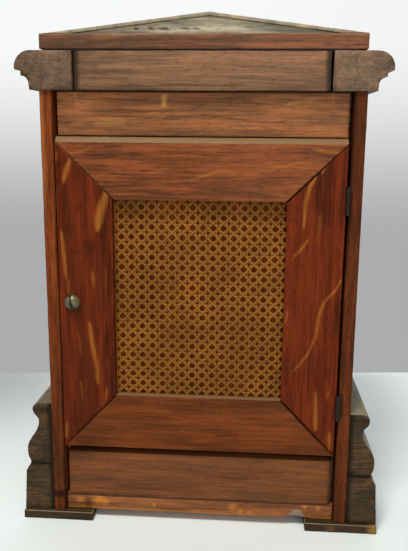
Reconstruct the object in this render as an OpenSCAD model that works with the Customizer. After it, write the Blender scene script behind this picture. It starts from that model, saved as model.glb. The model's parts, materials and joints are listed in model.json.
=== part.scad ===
// Oak icebox of table-top size: a board carcass with moulded crown and base, a mitred door with a
// cane panel on one side, and a gabled lid that lifts for the ice. Millimetres, +Z up, door side -Y.
// Inside: cork insulation, zinc lining, ice tray with rack and drain, drip pan, shelf and floor rack.

/* [Carcass] */
// Outside width across the two side boards
case_width = 394; // [360:1:430]
// Depth from the door side to the back
case_depth = 262; // [230:1:300]
// Thickness of the side boards
side_thick = 16; // [14:0.5:19]
// Height of the top edge of the side boards
case_top = 570; // [540:1:600]
// Thickness of the bottom board
bottom_thick = 22; // [18:1:26]
// Thickness of the two rails and the frieze board
rail_thick = 19; // [16:0.5:22]
// Setback of the rails behind the front edges of the side boards
rail_setback = 6; // [3:0.5:10]
// Gap at each end of a rail
rail_end_gap = 4; // [1:0.1:5]
// Height of the top edge of the lower rail
lower_rail_top = 97; // [85:1:105]
// Height of the bottom edge of the upper rail
upper_rail_foot = 516.5; // [505:0.5:530]
// Thickness of the framed back
back_thick = 20; // [16:1:24]
// Width of the stiles and rails of the back
back_member = 52; // [40:1:70]

/* [Crown] */
// Height of the crown moulding and the frieze
crown_height = 46; // [40:1:52]
// Projection of the crown's nose beyond the side boards
crown_projection = 28.6; // [24:0.2:34]
// Projection of the crown's foot beyond the side boards
crown_foot_projection = 10.8; // [8:0.2:14]
// Reach of the crown over the carcass
crown_reach = 41.3; // [36:0.1:46]
// Distance the crown's cut ends stand forward of the side boards
crown_lip = 3; // [0:0.5:6]
// Radius of the rounded upper part of the crown
ovolo_radius = 19.7; // [16:0.1:22]
// Radius of the hollow under the crown's nose
cavetto_radius = 9.5; // [7:0.1:11]
// Gap between the frieze board and each crown end
frieze_gap = 2.7; // [1:0.1:4]

/* [Base] */
// Thickness of the foot slabs
foot_height = 12; // [8:0.5:16]
// Length of a foot slab along the front
foot_length = 95; // [80:1:110]
// Distance the front feet stand forward of the side boards
foot_lip = 5; // [2:0.5:8]
// Height of the plinth block above the feet
plinth_height = 67.5; // [60:0.5:75]
// Projection of the plinth's lower edge beyond the side boards
plinth_projection = 41.5; // [36:0.5:46]
// Projection at the plinth's shoulder
shoulder_projection = 38; // [34:0.5:42]
// Projection at the plinth's top edge
plinth_top_projection = 31; // [28:0.5:34]
// Height of the sloped part above the plinth's shoulder
shoulder_height = 11.4; // [8:0.2:14]
// Height of the ogee moulding above the plinth
ogee_height = 87; // [80:0.5:94]
// Widest projection of the ogee
ogee_belly = 34.7; // [30:0.1:38]
// Projection at the ogee's neck
ogee_neck = 17.6; // [14:0.1:20]
// Projection of the ogee's top bead
ogee_nose = 25.6; // [22:0.1:28]
// Radius of the ogee's top bead
bead_radius = 8.8; // [6:0.1:10]

/* [Door] */
// Thickness of the door's frame
door_thick = 20; // [18:0.5:24]
// Gap at the hinge edge
hinge_gap = 3.2; // [1:0.1:4]
// Gap at the opening edge
catch_gap = 1; // [0.8:0.1:2]
// Height of the door's bottom edge
door_foot = 107; // [100:0.5:112]
// Height of the top edge of the door's flat face
door_face_top = 508.5; // [500:0.5:512]
// Height of the bevel along the door's top edge
door_bevel = 7; // [4:0.5:9]
// Half width of the caned opening
opening_half = 108; // [100:0.5:115]
// Sideways offset of the caned opening from the middle of the carcass
opening_offset = -1.5; // [-4:0.1:4]
// Height of the lower edge of the caned opening
opening_foot = 182; // [175:0.5:190]
// Height of the upper edge of the caned opening
opening_top = 439; // [430:0.5:445]
// Depth from the door's face to the cane
cane_depth = 11; // [8:0.5:13]
// Centre spacing of the holes in the cane
cane_pitch = 13; // [12.5:0.1:13.5]
// Distance from the opening's left edge to the first column of holes in the cane
cane_first_column = 8.6; // [6:0.1:13]
// Distance from the opening's top edge to the first row of holes in the cane
cane_first_row = 9.6; // [6:0.1:13]
// Width of an open eight-sided hole across its flats
cane_hole = 6.6; // [5:0.1:8]
// Thickness of the cane
cane_thick = 1.6; // [1:0.1:2.5]
// Width of the seat for the cane around the opening
cane_seat = 6; // [4:0.5:9]
// Thickness of the insulated plug on the door's inner side
door_plug = 13.5; // [10:0.5:18]

/* [Lid] */
// Thickness of the lid board
lid_thick = 17.5; // [14:0.5:20]
// Distance the lid board stops short of each side of the carcass
lid_inset = 2.5; // [0:0.5:5]
// Rise of the gable above the lid board
gable_rise = 24; // [16:0.5:34]
// Sideways offset of the gable's peak
gable_offset = 8.7; // [0:0.1:12]
// Thickness of the roof boards
roof_thick = 4.1; // [3:0.1:6]
// Setback of the gable boards from the edges of the roof boards
gable_setback = 5; // [2:0.5:8]
// Thickness of the gable boards
gable_thick = 12; // [8:0.5:16]
// Thickness of the felt seal under the lid board
seal_thick = 1.5; // [1:0.1:3]
// Depth of the insulated plug under the lid
lid_plug = 21.5; // [16:0.5:26]

/* [Inside] */
// Thickness of the cork slabs
cork_thick = 14; // [10:0.5:18]
// Thickness of the zinc sheet
zinc_thick = 1; // [0.8:0.1:1.5]
// Height of the underside of the ice tray
ice_floor = 402; // [380:1:420]
// Height of the ice tray's walls
ice_wall = 164; // [120:1:168]
// Height of the top of the shelf's battens
shelf_height = 250; // [200:1:300]
// Number of wires in the food shelf
shelf_wires = 15; // [9:2:21]
// Number of slats in the floor rack
rack_slats = 9; // [5:2:13]
// Outer radius of the drain tube
drain_radius = 7; // [5:0.5:9]

/* [Hardware] */
// Length of a butt hinge
hinge_length = 33; // [25:0.5:40]
// Radius of the hinge knuckles
knuckle_radius = 3; // [2.5:0.1:4]
// Height of the centre of the lower door hinge
lower_hinge_height = 175.5; // [160:0.5:190]
// Height of the centre of the upper door hinge
upper_hinge_height = 440.8; // [430:0.5:450]
// Radius of the turn-knob
knob_radius = 10.2; // [8:0.1:12]
// Height of the turn-knob above the door's face
knob_height = 8.7; // [6:0.1:11]
// Height of the turn-knob's centre above the ground
knob_level = 305.8; // [300:0.2:312]
// Distance of the turn-knob's centre from the door's middle
knob_offset = 163.6; // [160:0.2:165]
// Lean of the screwdriver slot from vertical, in degrees
slot_lean = 15; // [0:1:45]

/* [Hidden] */
$fn = 64;
half = case_width / 2;
inner = half - side_thick;
slack = 0.1; // overshoot of a cutting tool past the face it opens
door_y = 0.5; // setback of the door's face
knob_gap = 0.2; // running gap between the turn-knob and the door
front_y = (knob_height - door_y + knob_gap - case_depth - plinth_projection) / 2;
back_y = case_depth;
crown_z = case_top;
crown_top = case_top + crown_height;
reach_half = half - crown_reach;
mitre = 70; // half size of a mitre's cutting outline, larger than any moulding
lid_foot = crown_top + seal_thick;
lid_top = lid_foot + lid_thick;
lid_half = half - lid_inset;
lid_back = back_y - lid_inset;
plinth_z = foot_height;
ogee_z = foot_height + plinth_height;
base_top = ogee_z + ogee_height;
base_half = half + plinth_projection;
bottom_top = foot_height + bottom_thick;
rail_half = inner - rail_end_gap;
door_back = door_y + door_thick;
door_top = door_face_top + door_bevel;
door_right = inner - hinge_gap;
door_left = catch_gap - inner;
cane_y = door_y + cane_depth;
opening_left = opening_offset - opening_half;
opening_right = opening_offset + opening_half;
seat_x = [opening_left - cane_seat, opening_right + cane_seat];
cane_play = 0.2; // gap round the cane and its backing in their seat
backing_hollow = 1.6; // depth hollowed out of the backing behind the cane
stop_y = door_back + 2.7;
stop_thick = 13.8;
stop_back = stop_y + stop_thick;
stop_half = 148;
stop_foot = 110;
stop_top = 505;
plug_half = stop_half - 5;
plug_foot = stop_foot + 6;
plug_top = stop_top - 6;
flange = 12;
gasket_thick = 1.5;
cork_half = inner - cork_thick;
back_inner = back_y - back_thick;
cork_back_y = back_inner - cork_thick;
zinc_half = cork_half - zinc_thick;
zinc_back_y = cork_back_y - zinc_thick;
zinc_floor_top = bottom_top + cork_thick + zinc_thick;
batten = 12;
batten_y = [stop_back + 3, zinc_back_y - 5];
tray_half = 150;
tray_y = [46, zinc_back_y - 9];
sheet = 1.2; // wall of the tray, the drip pan and the drain tube
floor_rack_z = 80;
pan_half = 145;
bearer = [15, 8];
slat = [22, 8];
shelf_bar = 5;
shelf_wire = 1.5;
rack_y = [stop_back + 3, 190];
drain = [132, 205];
plate = 1.2;
hinge_play = 0.4;
hinge_reach = knuckle_radius + hinge_play; // from the pin's axis to the start of a plate
pin_radius = 1.25;
pin_play = 0.05;
pin_head = [2.4, 1.2];
leaf_width = 12;
leaf_gap = hinge_gap / 2;
segment_gap = 0.2;
segment = (hinge_length - 4 * segment_gap) / 5;
leaf_screw = 1.7;
door_axis = [inner - leaf_gap, -hinge_reach];
lid_axis = [lid_back + hinge_reach, crown_top + hinge_reach];
lid_hinge_x = 120;
lid_plug_half = reach_half - 5.7;
lid_plug_y = [30, back_y - crown_reach - 6.7];
knob_x = -knob_offset;
knob_base = 2;
slot_width = 2;
slot_depth = 2.2;
spindle = 3;
spindle_tip = 2.15;
spindle_play = 0.08; // room round the spindle in the stile
tongue_play = 0.05; // room round the spindle's end in the tongue
spindle_stub = 0.6; // end of the spindle that shows behind the tongue
tongue_width = 9;
tongue_length = 23;
tongue_thick = 3;
tongue_y = door_back + 0.7;
tongue_tail = 6;
lock_play = 2;
mortise_play = 1; // room round the tongue in the side board
roof_left_x = -190;
roof_right_x = lid_half;
peak = [gable_offset, lid_top + gable_rise];
under_peak = [gable_offset, lid_top + gable_rise - roof_thick];
left_run = (peak[0] - roof_left_x) / gable_rise * roof_thick; // along x under a roof board's edge
right_run = (roof_right_x - peak[0]) / gable_rise * roof_thick;
panel_field = 9;

// ---------------------------------------------------------------- helpers

// A board between two limits on each axis, with y counted from the carcass's front edge.
module board(x, y, z) {
    translate([x[0], front_y + y[0], z[0]])
        cube([x[1] - x[0], y[1] - y[0], z[1] - z[0]]);
}

// An outline in x and z, run from y[0] to y[1].
module run_y(y) {
    translate([0, front_y + y[1], 0])
        rotate([90, 0, 0])
            linear_extrude(y[1] - y[0])
                children();
}

// The plain half of a left and right pair, then its mirror image.
module pair() {
    children();
    mirror([1, 0, 0])
        children();
}

function arc(c, r, a0, a1, n) =
    [for (i = [0:n]) c + r * [cos(a0 + (a1 - a0) * i / n), sin(a0 + (a1 - a0) * i / n)]];

// A smooth curve from a to d, leaving towards b and arriving from c.
function curve(a, b, c, d, n) =
    [for (i = [1:n]) let (t = i / n, s = 1 - t)
        s * s * s * a + 3 * s * s * t * b + 3 * s * t * t * c + t * t * t * d];

// Each outline holds the projection beyond the side boards and the height above its own foot.
function crown_outline() = concat(
    [[-crown_reach, 0], [crown_foot_projection, 0]],
    arc([crown_foot_projection + 0.7 + cavetto_radius, 7], cavetto_radius, 180, 90, 8),
    [[crown_foot_projection + 0.7 + cavetto_radius, 22], [crown_projection - 0.5, 23.5]],
    arc([crown_projection - ovolo_radius, crown_height - ovolo_radius], ovolo_radius, 0, 90, 12),
    [[-crown_reach, crown_height]]);

function plinth_outline() = [
    [0, 0], [plinth_projection, 0], [shoulder_projection, plinth_height - shoulder_height],
    [plinth_top_projection, plinth_height], [0, plinth_height]];

function ogee_outline() = concat(
    [[0, 0], [plinth_top_projection, 0], [plinth_top_projection, 4.5]],
    curve([plinth_top_projection, 4.5], [ogee_belly - 0.5, 8], [ogee_belly, 14],
        [ogee_belly, 20], 4),
    curve([ogee_belly, 20], [ogee_belly, 38], [ogee_neck, 44], [ogee_neck, 62], 10),
    curve([ogee_neck, 62], [ogee_neck, 68], [ogee_nose, 69], [ogee_nose, 78.2], 6),
    arc([ogee_nose - bead_radius, 78.2], bead_radius, 0, 90, 6),
    [[0, ogee_height]]);

// A moulding along the right side, cut square at the door side and mitred at the back.
module side_moulding(z, lip) {
    intersection() {
        translate([half, 0, z])
            run_y([-lip, back_y + mitre])
                children();
        translate([0, front_y, z - 1])
            linear_extrude(ogee_height + 2)
                polygon([
                    [half - mitre, -lip - 1], [half + mitre, -lip - 1],
                    [half + mitre, back_y + mitre], [half - mitre, back_y - mitre]]);
    }
}

// The same moulding along the back, mitred at both ends.
module back_moulding(z) {
    intersection() {
        translate([-half - mitre, front_y + back_y, z])
            rotate([90, 0, 90])
                linear_extrude(2 * half + 2 * mitre)
                    children();
        translate([0, front_y, z - 1])
            linear_extrude(ogee_height + 2)
                polygon([
                    [mitre - half, back_y - mitre], [half - mitre, back_y - mitre],
                    [half + mitre, back_y + mitre], [-half - mitre, back_y + mitre]]);
    }
}

// One leaf of a butt hinge: the pin runs along z, the plate reaches along x at height off in y.
module leaf(segments, off) {
    difference() {
        union() {
            translate([hinge_reach, off, 0])
                cube([leaf_width, plate, hinge_length]);
            for (s = segments)
                translate([0, 0, s * (segment + segment_gap)]) {
                    cylinder(r = knuckle_radius, h = segment);
                    translate([0, off, 0])
                        cube([hinge_reach + slack, plate, segment]);
                }
        }
        translate([0, 0, -1])
            cylinder(r = pin_radius + pin_play, h = hinge_length + 2);
        for (s = [0.5, 2.5, 4.5])
            translate([hinge_reach + leaf_width * 0.55, off - 1, s * (segment + segment_gap)])
                rotate([-90, 0, 0])
                    cylinder(r = leaf_screw, h = plate + 2);
    }
}

module pin() {
    cylinder(r = pin_radius, h = hinge_length);
    translate([0, 0, hinge_length])
        cylinder(r = pin_head[0], h = pin_head[1]);
}

module at_door_hinges() {
    for (z = [lower_hinge_height, upper_hinge_height])
        translate([door_axis[0], front_y + door_axis[1], z - hinge_length / 2])
            children();
}

module at_lid_hinges(end) {
    for (x = [-lid_hinge_x, lid_hinge_x])
        translate([x + (end - 0.5) * hinge_length, front_y + lid_axis[0], lid_axis[1]])
            children();
}

// ---------------------------------------------------------------- carcass

module side_board() {
    difference() {
        board([inner, half], [0, back_y], [foot_height, case_top]);
        at_door_hinges()
            translate([leaf_gap, 0, -slack])
                cube([plate, hinge_reach + leaf_width + slack, hinge_length + 2 * slack]);
    }
}

module side_board_right() {
    color([0.45, 0.25, 0.12]) side_board();
}

module side_board_left() {
    color([0.45, 0.25, 0.12])
        difference() {
            board([-half, -inner], [0, back_y], [foot_height, case_top]);
            // mortise that the catch's tongue turns into
            board([knob_x - tongue_length - lock_play, slack - inner],
                [tongue_y - mortise_play, tongue_y + tongue_thick + mortise_play],
                [knob_level - tongue_width / 2 - lock_play,
                    knob_level + tongue_length + mortise_play]);
        }
}

module bottom_board() {
    color([0.4, 0.22, 0.12])
        board([-inner, inner], [rail_setback, back_inner], [foot_height, bottom_top]);
}

module lower_rail() {
    color([0.42, 0.2, 0.12])
        board([-rail_half, rail_half], [rail_setback, rail_setback + rail_thick],
            [bottom_top, lower_rail_top]);
}

module upper_rail() {
    color([0.42, 0.2, 0.12])
        board([-rail_half, rail_half], [rail_setback, rail_setback + rail_thick],
            [upper_rail_foot, case_top]);
}

module frieze_board() {
    color([0.38, 0.3, 0.24])
        board([frieze_gap - reach_half, reach_half - frieze_gap],
            [-crown_lip + 1.5, rail_thick - crown_lip + 1.5], [crown_z, crown_top]);
}

module crown_right() {
    color([0.36, 0.29, 0.23])
        side_moulding(crown_z, crown_lip) polygon(crown_outline());
}

module crown_left() {
    color([0.36, 0.29, 0.23])
        mirror([1, 0, 0])
            side_moulding(crown_z, crown_lip) polygon(crown_outline());
}

module crown_back() {
    color([0.36, 0.29, 0.23])
        back_moulding(crown_z) polygon(crown_outline());
}

module ogee_right() {
    color([0.25, 0.17, 0.11])
        side_moulding(ogee_z, 0) polygon(ogee_outline());
}

module ogee_left() {
    color([0.25, 0.17, 0.11])
        mirror([1, 0, 0])
            side_moulding(ogee_z, 0) polygon(ogee_outline());
}

module ogee_back() {
    color([0.25, 0.17, 0.11])
        back_moulding(ogee_z) polygon(ogee_outline());
}

module plinth_right() {
    color([0.24, 0.17, 0.11])
        side_moulding(plinth_z, 0) polygon(plinth_outline());
}

module plinth_left() {
    color([0.24, 0.17, 0.11])
        mirror([1, 0, 0])
            side_moulding(plinth_z, 0) polygon(plinth_outline());
}

module plinth_back() {
    color([0.24, 0.17, 0.11])
        back_moulding(plinth_z) polygon(plinth_outline());
}

module foot(y) {
    board([base_half - foot_length, base_half], y, [0, foot_height]);
}

module foot_front_right() {
    color([0.22, 0.16, 0.11]) foot([-foot_lip, foot_length - foot_lip]);
}

module foot_front_left() {
    color([0.22, 0.16, 0.11])
        mirror([1, 0, 0])
            foot([-foot_lip, foot_length - foot_lip]);
}

module feet_back() {
    far = back_y + plinth_projection;
    color([0.22, 0.16, 0.11])
        pair()
            foot([far - foot_length, far]);
}

module back_stiles() {
    color([0.4, 0.24, 0.13])
        pair()
            board([inner - back_member, inner], [back_inner, back_y], [foot_height, case_top]);
}

module back_rails() {
    wide = inner - back_member;
    color([0.4, 0.24, 0.13]) {
        board([-wide, wide], [back_inner, back_y], [foot_height, base_top]);
        board([-wide, wide], [back_inner, back_y], [case_top - back_member, case_top]);
    }
}

module back_panel() {
    wide = inner - back_member;
    z = [base_top, case_top - back_member];
    color([0.4, 0.24, 0.13]) {
        board([-wide, wide], [back_inner + 2, back_inner + 2 + panel_field], z);
    }
}

// ---------------------------------------------------------------- insulation and lining

module cork_sides() {
    color([0.45, 0.33, 0.2])
        pair()
            board([cork_half, inner], [stop_back, cork_back_y],
                [bottom_top + cork_thick, case_top]);
}

module cork_back() {
    color([0.45, 0.33, 0.2])
        board([-inner, inner], [cork_back_y, back_inner], [bottom_top + cork_thick, case_top]);
}

module cork_floor() {
    color([0.45, 0.33, 0.2])
        board([-inner, inner], [rail_setback + rail_thick, back_inner],
            [bottom_top, bottom_top + cork_thick]);
}

// Two strips, behind the lower rail and behind the upper rail.
module cork_front() {
    y = [rail_setback + rail_thick, stop_back];
    color([0.45, 0.33, 0.2]) {
        board([-inner, inner], y, [zinc_floor_top, lower_rail_top]);
        board([-inner, inner], y, [upper_rail_foot, case_top]);
    }
}

module zinc_sides() {
    color([0.62, 0.64, 0.65])
        pair()
            board([zinc_half, cork_half], [stop_back, zinc_back_y], [zinc_floor_top, case_top]);
}

module zinc_back() {
    color([0.62, 0.64, 0.65])
        board([-cork_half, cork_half], [zinc_back_y, cork_back_y], [zinc_floor_top, case_top]);
}

module zinc_floor() {
    color([0.62, 0.64, 0.65])
        board([-cork_half, cork_half], [rail_setback + rail_thick, cork_back_y],
            [bottom_top + cork_thick, zinc_floor_top]);
}

module door_stop_posts() {
    color([0.35, 0.2, 0.11])
        difference() {
            pair()
                board([stop_half, inner], [stop_y, stop_back], [lower_rail_top, upper_rail_foot]);
            // pocket in the left post for the turning tongue
            board([-inner - slack, knob_x + tongue_tail + lock_play],
                [stop_y - slack, tongue_y + tongue_thick + mortise_play],
                [knob_level - tongue_tail - lock_play, knob_level + tongue_length + lock_play]);
        }
}

module door_stop_head() {
    color([0.35, 0.2, 0.11])
        board([-stop_half, stop_half], [stop_y, stop_back], [stop_top, upper_rail_foot]);
}

module door_stop_sill() {
    color([0.35, 0.2, 0.11])
        board([-stop_half, stop_half], [stop_y, stop_back], [lower_rail_top, stop_foot]);
}

// ---------------------------------------------------------------- ice, water and food

module ice_tray() {
    color([0.66, 0.68, 0.69])
        difference() {
            board([-tray_half, tray_half], tray_y, [ice_floor, ice_floor + ice_wall]);
            board([sheet - tray_half, tray_half - sheet], [tray_y[0] + sheet, tray_y[1] - sheet],
                [ice_floor + sheet, ice_floor + ice_wall + 1]);
            translate([drain[0], front_y + drain[1], ice_floor - 1])
                cylinder(r = drain_radius - sheet, h = sheet + 2);
        }
}

// Slats across two runners keep the block of ice out of its melt water.
module ice_rack() {
    z = ice_floor + sheet;
    slats = 6;
    color([0.5, 0.35, 0.2]) {
        for (x = [-100, 90])
            board([x, x + 10], [tray_y[0] + 8, tray_y[1] - 22], [z, z + 8]);
        for (i = [0:slats - 1])
            board([-140, 118], [tray_y[0] + 10 + 24 * i, tray_y[0] + 28 + 24 * i],
                [z + 8, z + 16]);
    }
}

module drain_tube() {
    low = zinc_floor_top + 10;
    color([0.62, 0.64, 0.65])
        translate([drain[0], front_y + drain[1], low])
            difference() {
                cylinder(r = drain_radius, h = ice_floor - low);
                translate([0, 0, -1])
                    cylinder(r = drain_radius - sheet, h = ice_floor - low + 2);
            }
}

module drip_pan() {
    x = pan_half;
    y = [stop_back + 8, zinc_back_y - 6];
    z = [zinc_floor_top, floor_rack_z - 2];
    color([0.66, 0.68, 0.69])
        difference() {
            board([-x, x], y, z);
            board([sheet - x, x - sheet], [y[0] + sheet, y[1] - sheet], [z[0] + sheet, z[1] + 1]);
        }
}

// Bars across the battens, wires from front to back on top of them.
module food_shelf() {
    x = zinc_half - 3;
    color([0.7, 0.71, 0.72]) {
        for (y = [rack_y[0] + 2, 112, rack_y[1] - shelf_bar - 2])
            board([-x, x], [y, y + shelf_bar], [shelf_height, shelf_height + shelf_bar]);
        for (i = [0:shelf_wires - 1])
            translate([
                -x + 6 + i * (2 * x - 12) / (shelf_wires - 1), front_y + rack_y[1],
                shelf_height + shelf_bar + shelf_wire - 0.5])
                rotate([90, 0, 0])
                    cylinder(r = shelf_wire, h = rack_y[1] - rack_y[0]);
    }
}

// Three pairs: under the ice tray, under the shelf and under the floor rack.
module shelf_battens() {
    color([0.4, 0.24, 0.13])
        pair()
            for (z = [ice_floor, shelf_height, floor_rack_z])
                board([zinc_half - batten, zinc_half], batten_y, [z - batten, z]);
}

module floor_rack() {
    x = zinc_half - 1.5;
    z = floor_rack_z;
    step = (2 * x - slat[0]) / (rack_slats - 1);
    color([0.5, 0.35, 0.2]) {
        for (y = [rack_y[0] + 10, rack_y[1] - 10 - bearer[0]])
            board([-x, x], [y, y + bearer[0]], [z, z + bearer[1]]);
        for (i = [0:rack_slats - 1])
            board([-x + i * step, -x + i * step + slat[0]], rack_y,
                [z + bearer[1], z + bearer[1] + slat[1]]);
    }
}

// ---------------------------------------------------------------- hinges on the carcass

module hinge_case_leaves() {
    color([0.6, 0.45, 0.18]) {
        at_door_hinges()
            mirror([1, 0, 0])
                rotate([0, 0, 90])
                    leaf([0, 2, 4], leaf_gap);
        at_lid_hinges(0)
            rotate([90, 0, 90])
                leaf([0, 2, 4], -hinge_reach);
    }
}

module hinge_pins() {
    color([0.5, 0.38, 0.16]) {
        at_door_hinges() pin();
        at_lid_hinges(0)
            rotate([90, 0, 90])
                pin();
    }
}

module lid_seal() {
    color([0.3, 0.28, 0.25])
        difference() {
            board([-inner, inner], [2, back_y - 22], [crown_top, lid_foot]);
            board([-reach_half - 1, reach_half + 1],
                [rail_thick - crown_lip + 2, back_y - crown_reach + 1],
                [crown_top - 1, lid_foot + 1]);
        }
}

// ---------------------------------------------------------------- door

// The seat cut round the back of the opening for the cane and its backing.
module cane_rebate() {
    board(seat_x, [cane_y, door_back + 1],
        [opening_foot - cane_seat, opening_top + cane_seat]);
}

module door_stile_left() {
    color([0.48, 0.24, 0.12])
        difference() {
            run_y([door_y, door_back])
                polygon([
                    [door_left, door_foot], [opening_left, opening_foot],
                    [opening_left, opening_top], [door_left, door_face_top]]);
            cane_rebate();
            translate([knob_x, front_y + door_back + 1, knob_level])
                rotate([90, 0, 0])
                    cylinder(r = spindle + spindle_play, h = door_thick + 2);
        }
}

module door_stile_right() {
    color([0.48, 0.24, 0.12])
        difference() {
            run_y([door_y, door_back])
                polygon([
                    [door_right, door_foot], [door_right, door_face_top],
                    [opening_right, opening_top], [opening_right, opening_foot]]);
            cane_rebate();
            at_door_hinges()
                translate([-leaf_gap - plate, 0, -slack])
                    cube([plate + 1, hinge_reach + leaf_width + slack, hinge_length + 2 * slack]);
        }
}

module door_rail_top() {
    color([0.48, 0.24, 0.12])
        difference() {
            run_y([door_y, door_back])
                polygon([
                    [door_left, door_face_top], [opening_left, opening_top],
                    [opening_right, opening_top], [door_right, door_face_top],
                    [door_right, door_top], [door_left, door_top]]);
            cane_rebate();
            translate([door_left - 1, front_y + door_y, door_face_top])
                rotate([90, 0, 90])
                    linear_extrude(door_right - door_left + 2)
                        polygon([
                            [-1, 0], [0, 0], [door_bevel, door_bevel], [door_bevel, door_bevel + 1],
                            [-1, door_bevel + 1]]);
        }
}

module door_rail_bottom() {
    color([0.48, 0.24, 0.12])
        difference() {
            run_y([door_y, door_back])
                polygon([
                    [door_left, door_foot], [door_right, door_foot],
                    [opening_right, opening_foot], [opening_left, opening_foot]]);
            cane_rebate();
        }
}

// Woven cane, shown as a sheet with its grid of eight-sided openings.
module cane_panel() {
    x = seat_x + [cane_play, -cane_play];
    z = [opening_foot - cane_seat + cane_play, opening_top + cane_seat - cane_play];
    columns = floor((2 * opening_half - cane_first_column - cane_hole) / cane_pitch) + 1;
    rows = floor((opening_top - opening_foot - cane_first_row - cane_hole) / cane_pitch) + 1;
    color([0.62, 0.48, 0.22])
        run_y([cane_y, cane_y + cane_thick])
            difference() {
                translate([x[0], z[0]])
                    square([x[1] - x[0], z[1] - z[0]]);
                for (i = [0:columns - 1], j = [0:rows - 1])
                    translate([
                        opening_left + cane_first_column + i * cane_pitch,
                        opening_top - cane_first_row - j * cane_pitch])
                        rotate(22.5)
                            circle(r = cane_hole / 2 / cos(22.5), $fn = 8);
            }
}

// Thin board behind the cane, hollowed so that the cane stands clear of it.
module cane_backing() {
    x = seat_x + [cane_play, -cane_play];
    z = [opening_foot - cane_seat + cane_play, opening_top + cane_seat - cane_play];
    y = [cane_y + cane_thick, door_back];
    color([0.5, 0.27, 0.12])
        difference() {
            board(x, y, z);
            board([opening_left, opening_right], [y[0] - 1, y[0] + backing_hollow],
                [opening_foot, opening_top]);
        }
}

module door_cork() {
    color([0.45, 0.33, 0.2])
        board([zinc_thick - plug_half, plug_half - zinc_thick],
            [door_back, door_back + door_plug - zinc_thick],
            [plug_foot + zinc_thick, plug_top - zinc_thick]);
}

module door_zinc_pan() {
    color([0.66, 0.68, 0.69])
        difference() {
            union() {
                board([-plug_half, plug_half], [door_back, door_back + door_plug],
                    [plug_foot, plug_top]);
                board([-plug_half - flange, plug_half + flange],
                    [door_back, door_back + zinc_thick], [plug_foot - flange, plug_top + flange]);
            }
            board([zinc_thick - plug_half, plug_half - zinc_thick],
                [door_back - 1, door_back + door_plug - zinc_thick],
                [plug_foot + zinc_thick, plug_top - zinc_thick]);
        }
}

module door_gasket() {
    y = [door_back + zinc_thick, door_back + zinc_thick + gasket_thick];
    color([0.1, 0.1, 0.1])
        difference() {
            board([-plug_half - flange, plug_half + flange], y,
                [plug_foot - flange, plug_top + flange]);
            board([-plug_half - 1.5, plug_half + 1.5], [y[0] - 1, y[1] + 1],
                [plug_foot - 1.5, plug_top + 1.5]);
        }
}

module door_hinge_leaves() {
    color([0.6, 0.45, 0.18])
        at_door_hinges()
            rotate([0, 0, 90])
                leaf([1, 3], leaf_gap);
}

// ---------------------------------------------------------------- catch

// Domed turn-knob with a screwdriver slot, and the spindle behind it.
module catch_knob() {
    rise = knob_height - knob_base;
    ball = (knob_radius * knob_radius + rise * rise) / (2 * rise);
    sweep = asin(knob_radius / ball);
    shank = tongue_y - door_y + knob_gap;
    tip = -shank - tongue_thick - spindle_stub;
    color([0.5, 0.4, 0.18])
        translate([knob_x, front_y + door_y - knob_gap, knob_level])
            rotate([90, 0, 0])
                difference() {
                    rotate_extrude()
                        polygon(concat(
                            [
                                [0, tip], [spindle_tip, tip], [spindle_tip, -shank],
                                [spindle, -shank], [spindle, 0], [knob_radius, 0]
                            ],
                            arc([0, knob_height - ball], ball, 90 - sweep, 90, 10)));
                    rotate(90 + slot_lean)
                        translate([
                            -knob_radius - 1, -slot_width / 2, knob_height - slot_depth])
                            cube([2 * knob_radius + 2, slot_width, slot_depth + 1]);
                }
}

// The tongue points up when the door is free, and turns down into the side board to lock.
module catch_tongue() {
    color([0.55, 0.42, 0.18])
        translate([knob_x, front_y + tongue_y + tongue_thick, knob_level])
            rotate([90, 0, 0])
                difference() {
                    union() {
                        cylinder(r = tongue_tail, h = tongue_thick);
                        translate([-tongue_width / 2, 0, 0])
                            cube([tongue_width, tongue_length - tongue_width / 2, tongue_thick]);
                        translate([0, tongue_length - tongue_width / 2, 0])
                            cylinder(r = tongue_width / 2, h = tongue_thick);
                    }
                    translate([0, 0, -1])
                        cylinder(r = spindle_tip + tongue_play, h = tongue_thick + 2);
                }
}

// ---------------------------------------------------------------- lid

module lid_board() {
    color([0.42, 0.26, 0.15])
        board([-lid_half, lid_half], [-crown_lip, lid_back], [lid_foot, lid_top]);
}

module roof_left() {
    color([0.42, 0.37, 0.3])
        run_y([-crown_lip, lid_back])
            polygon([[roof_left_x, lid_top], [roof_left_x + left_run, lid_top], under_peak, peak]);
}

module roof_right() {
    color([0.42, 0.37, 0.3])
        run_y([-crown_lip, lid_back])
            polygon([
                [roof_right_x, lid_top], peak, under_peak, [roof_right_x - right_run, lid_top]]);
}

module gable_boards() {
    near = gable_setback - crown_lip;
    far = lid_back - gable_setback;
    color([0.5, 0.46, 0.4])
        for (y = [[near, near + gable_thick], [far - gable_thick, far]])
            run_y(y)
                polygon([
                    [roof_left_x + left_run, lid_top], [roof_right_x - right_run, lid_top],
                    under_peak]);
}

// Cork in a zinc pan, screwed up under the lid board.
module lid_insulation() {
    color([0.66, 0.68, 0.69])
        board([-lid_plug_half, lid_plug_half], lid_plug_y, [lid_foot - lid_plug, lid_foot]);
}

module lid_hinge_leaves() {
    color([0.6, 0.45, 0.18])
        at_lid_hinges(1)
            rotate([0, -90, 0])
                leaf([1, 3], -hinge_reach);
}

// ---------------------------------------------------------------- assembly

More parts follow.
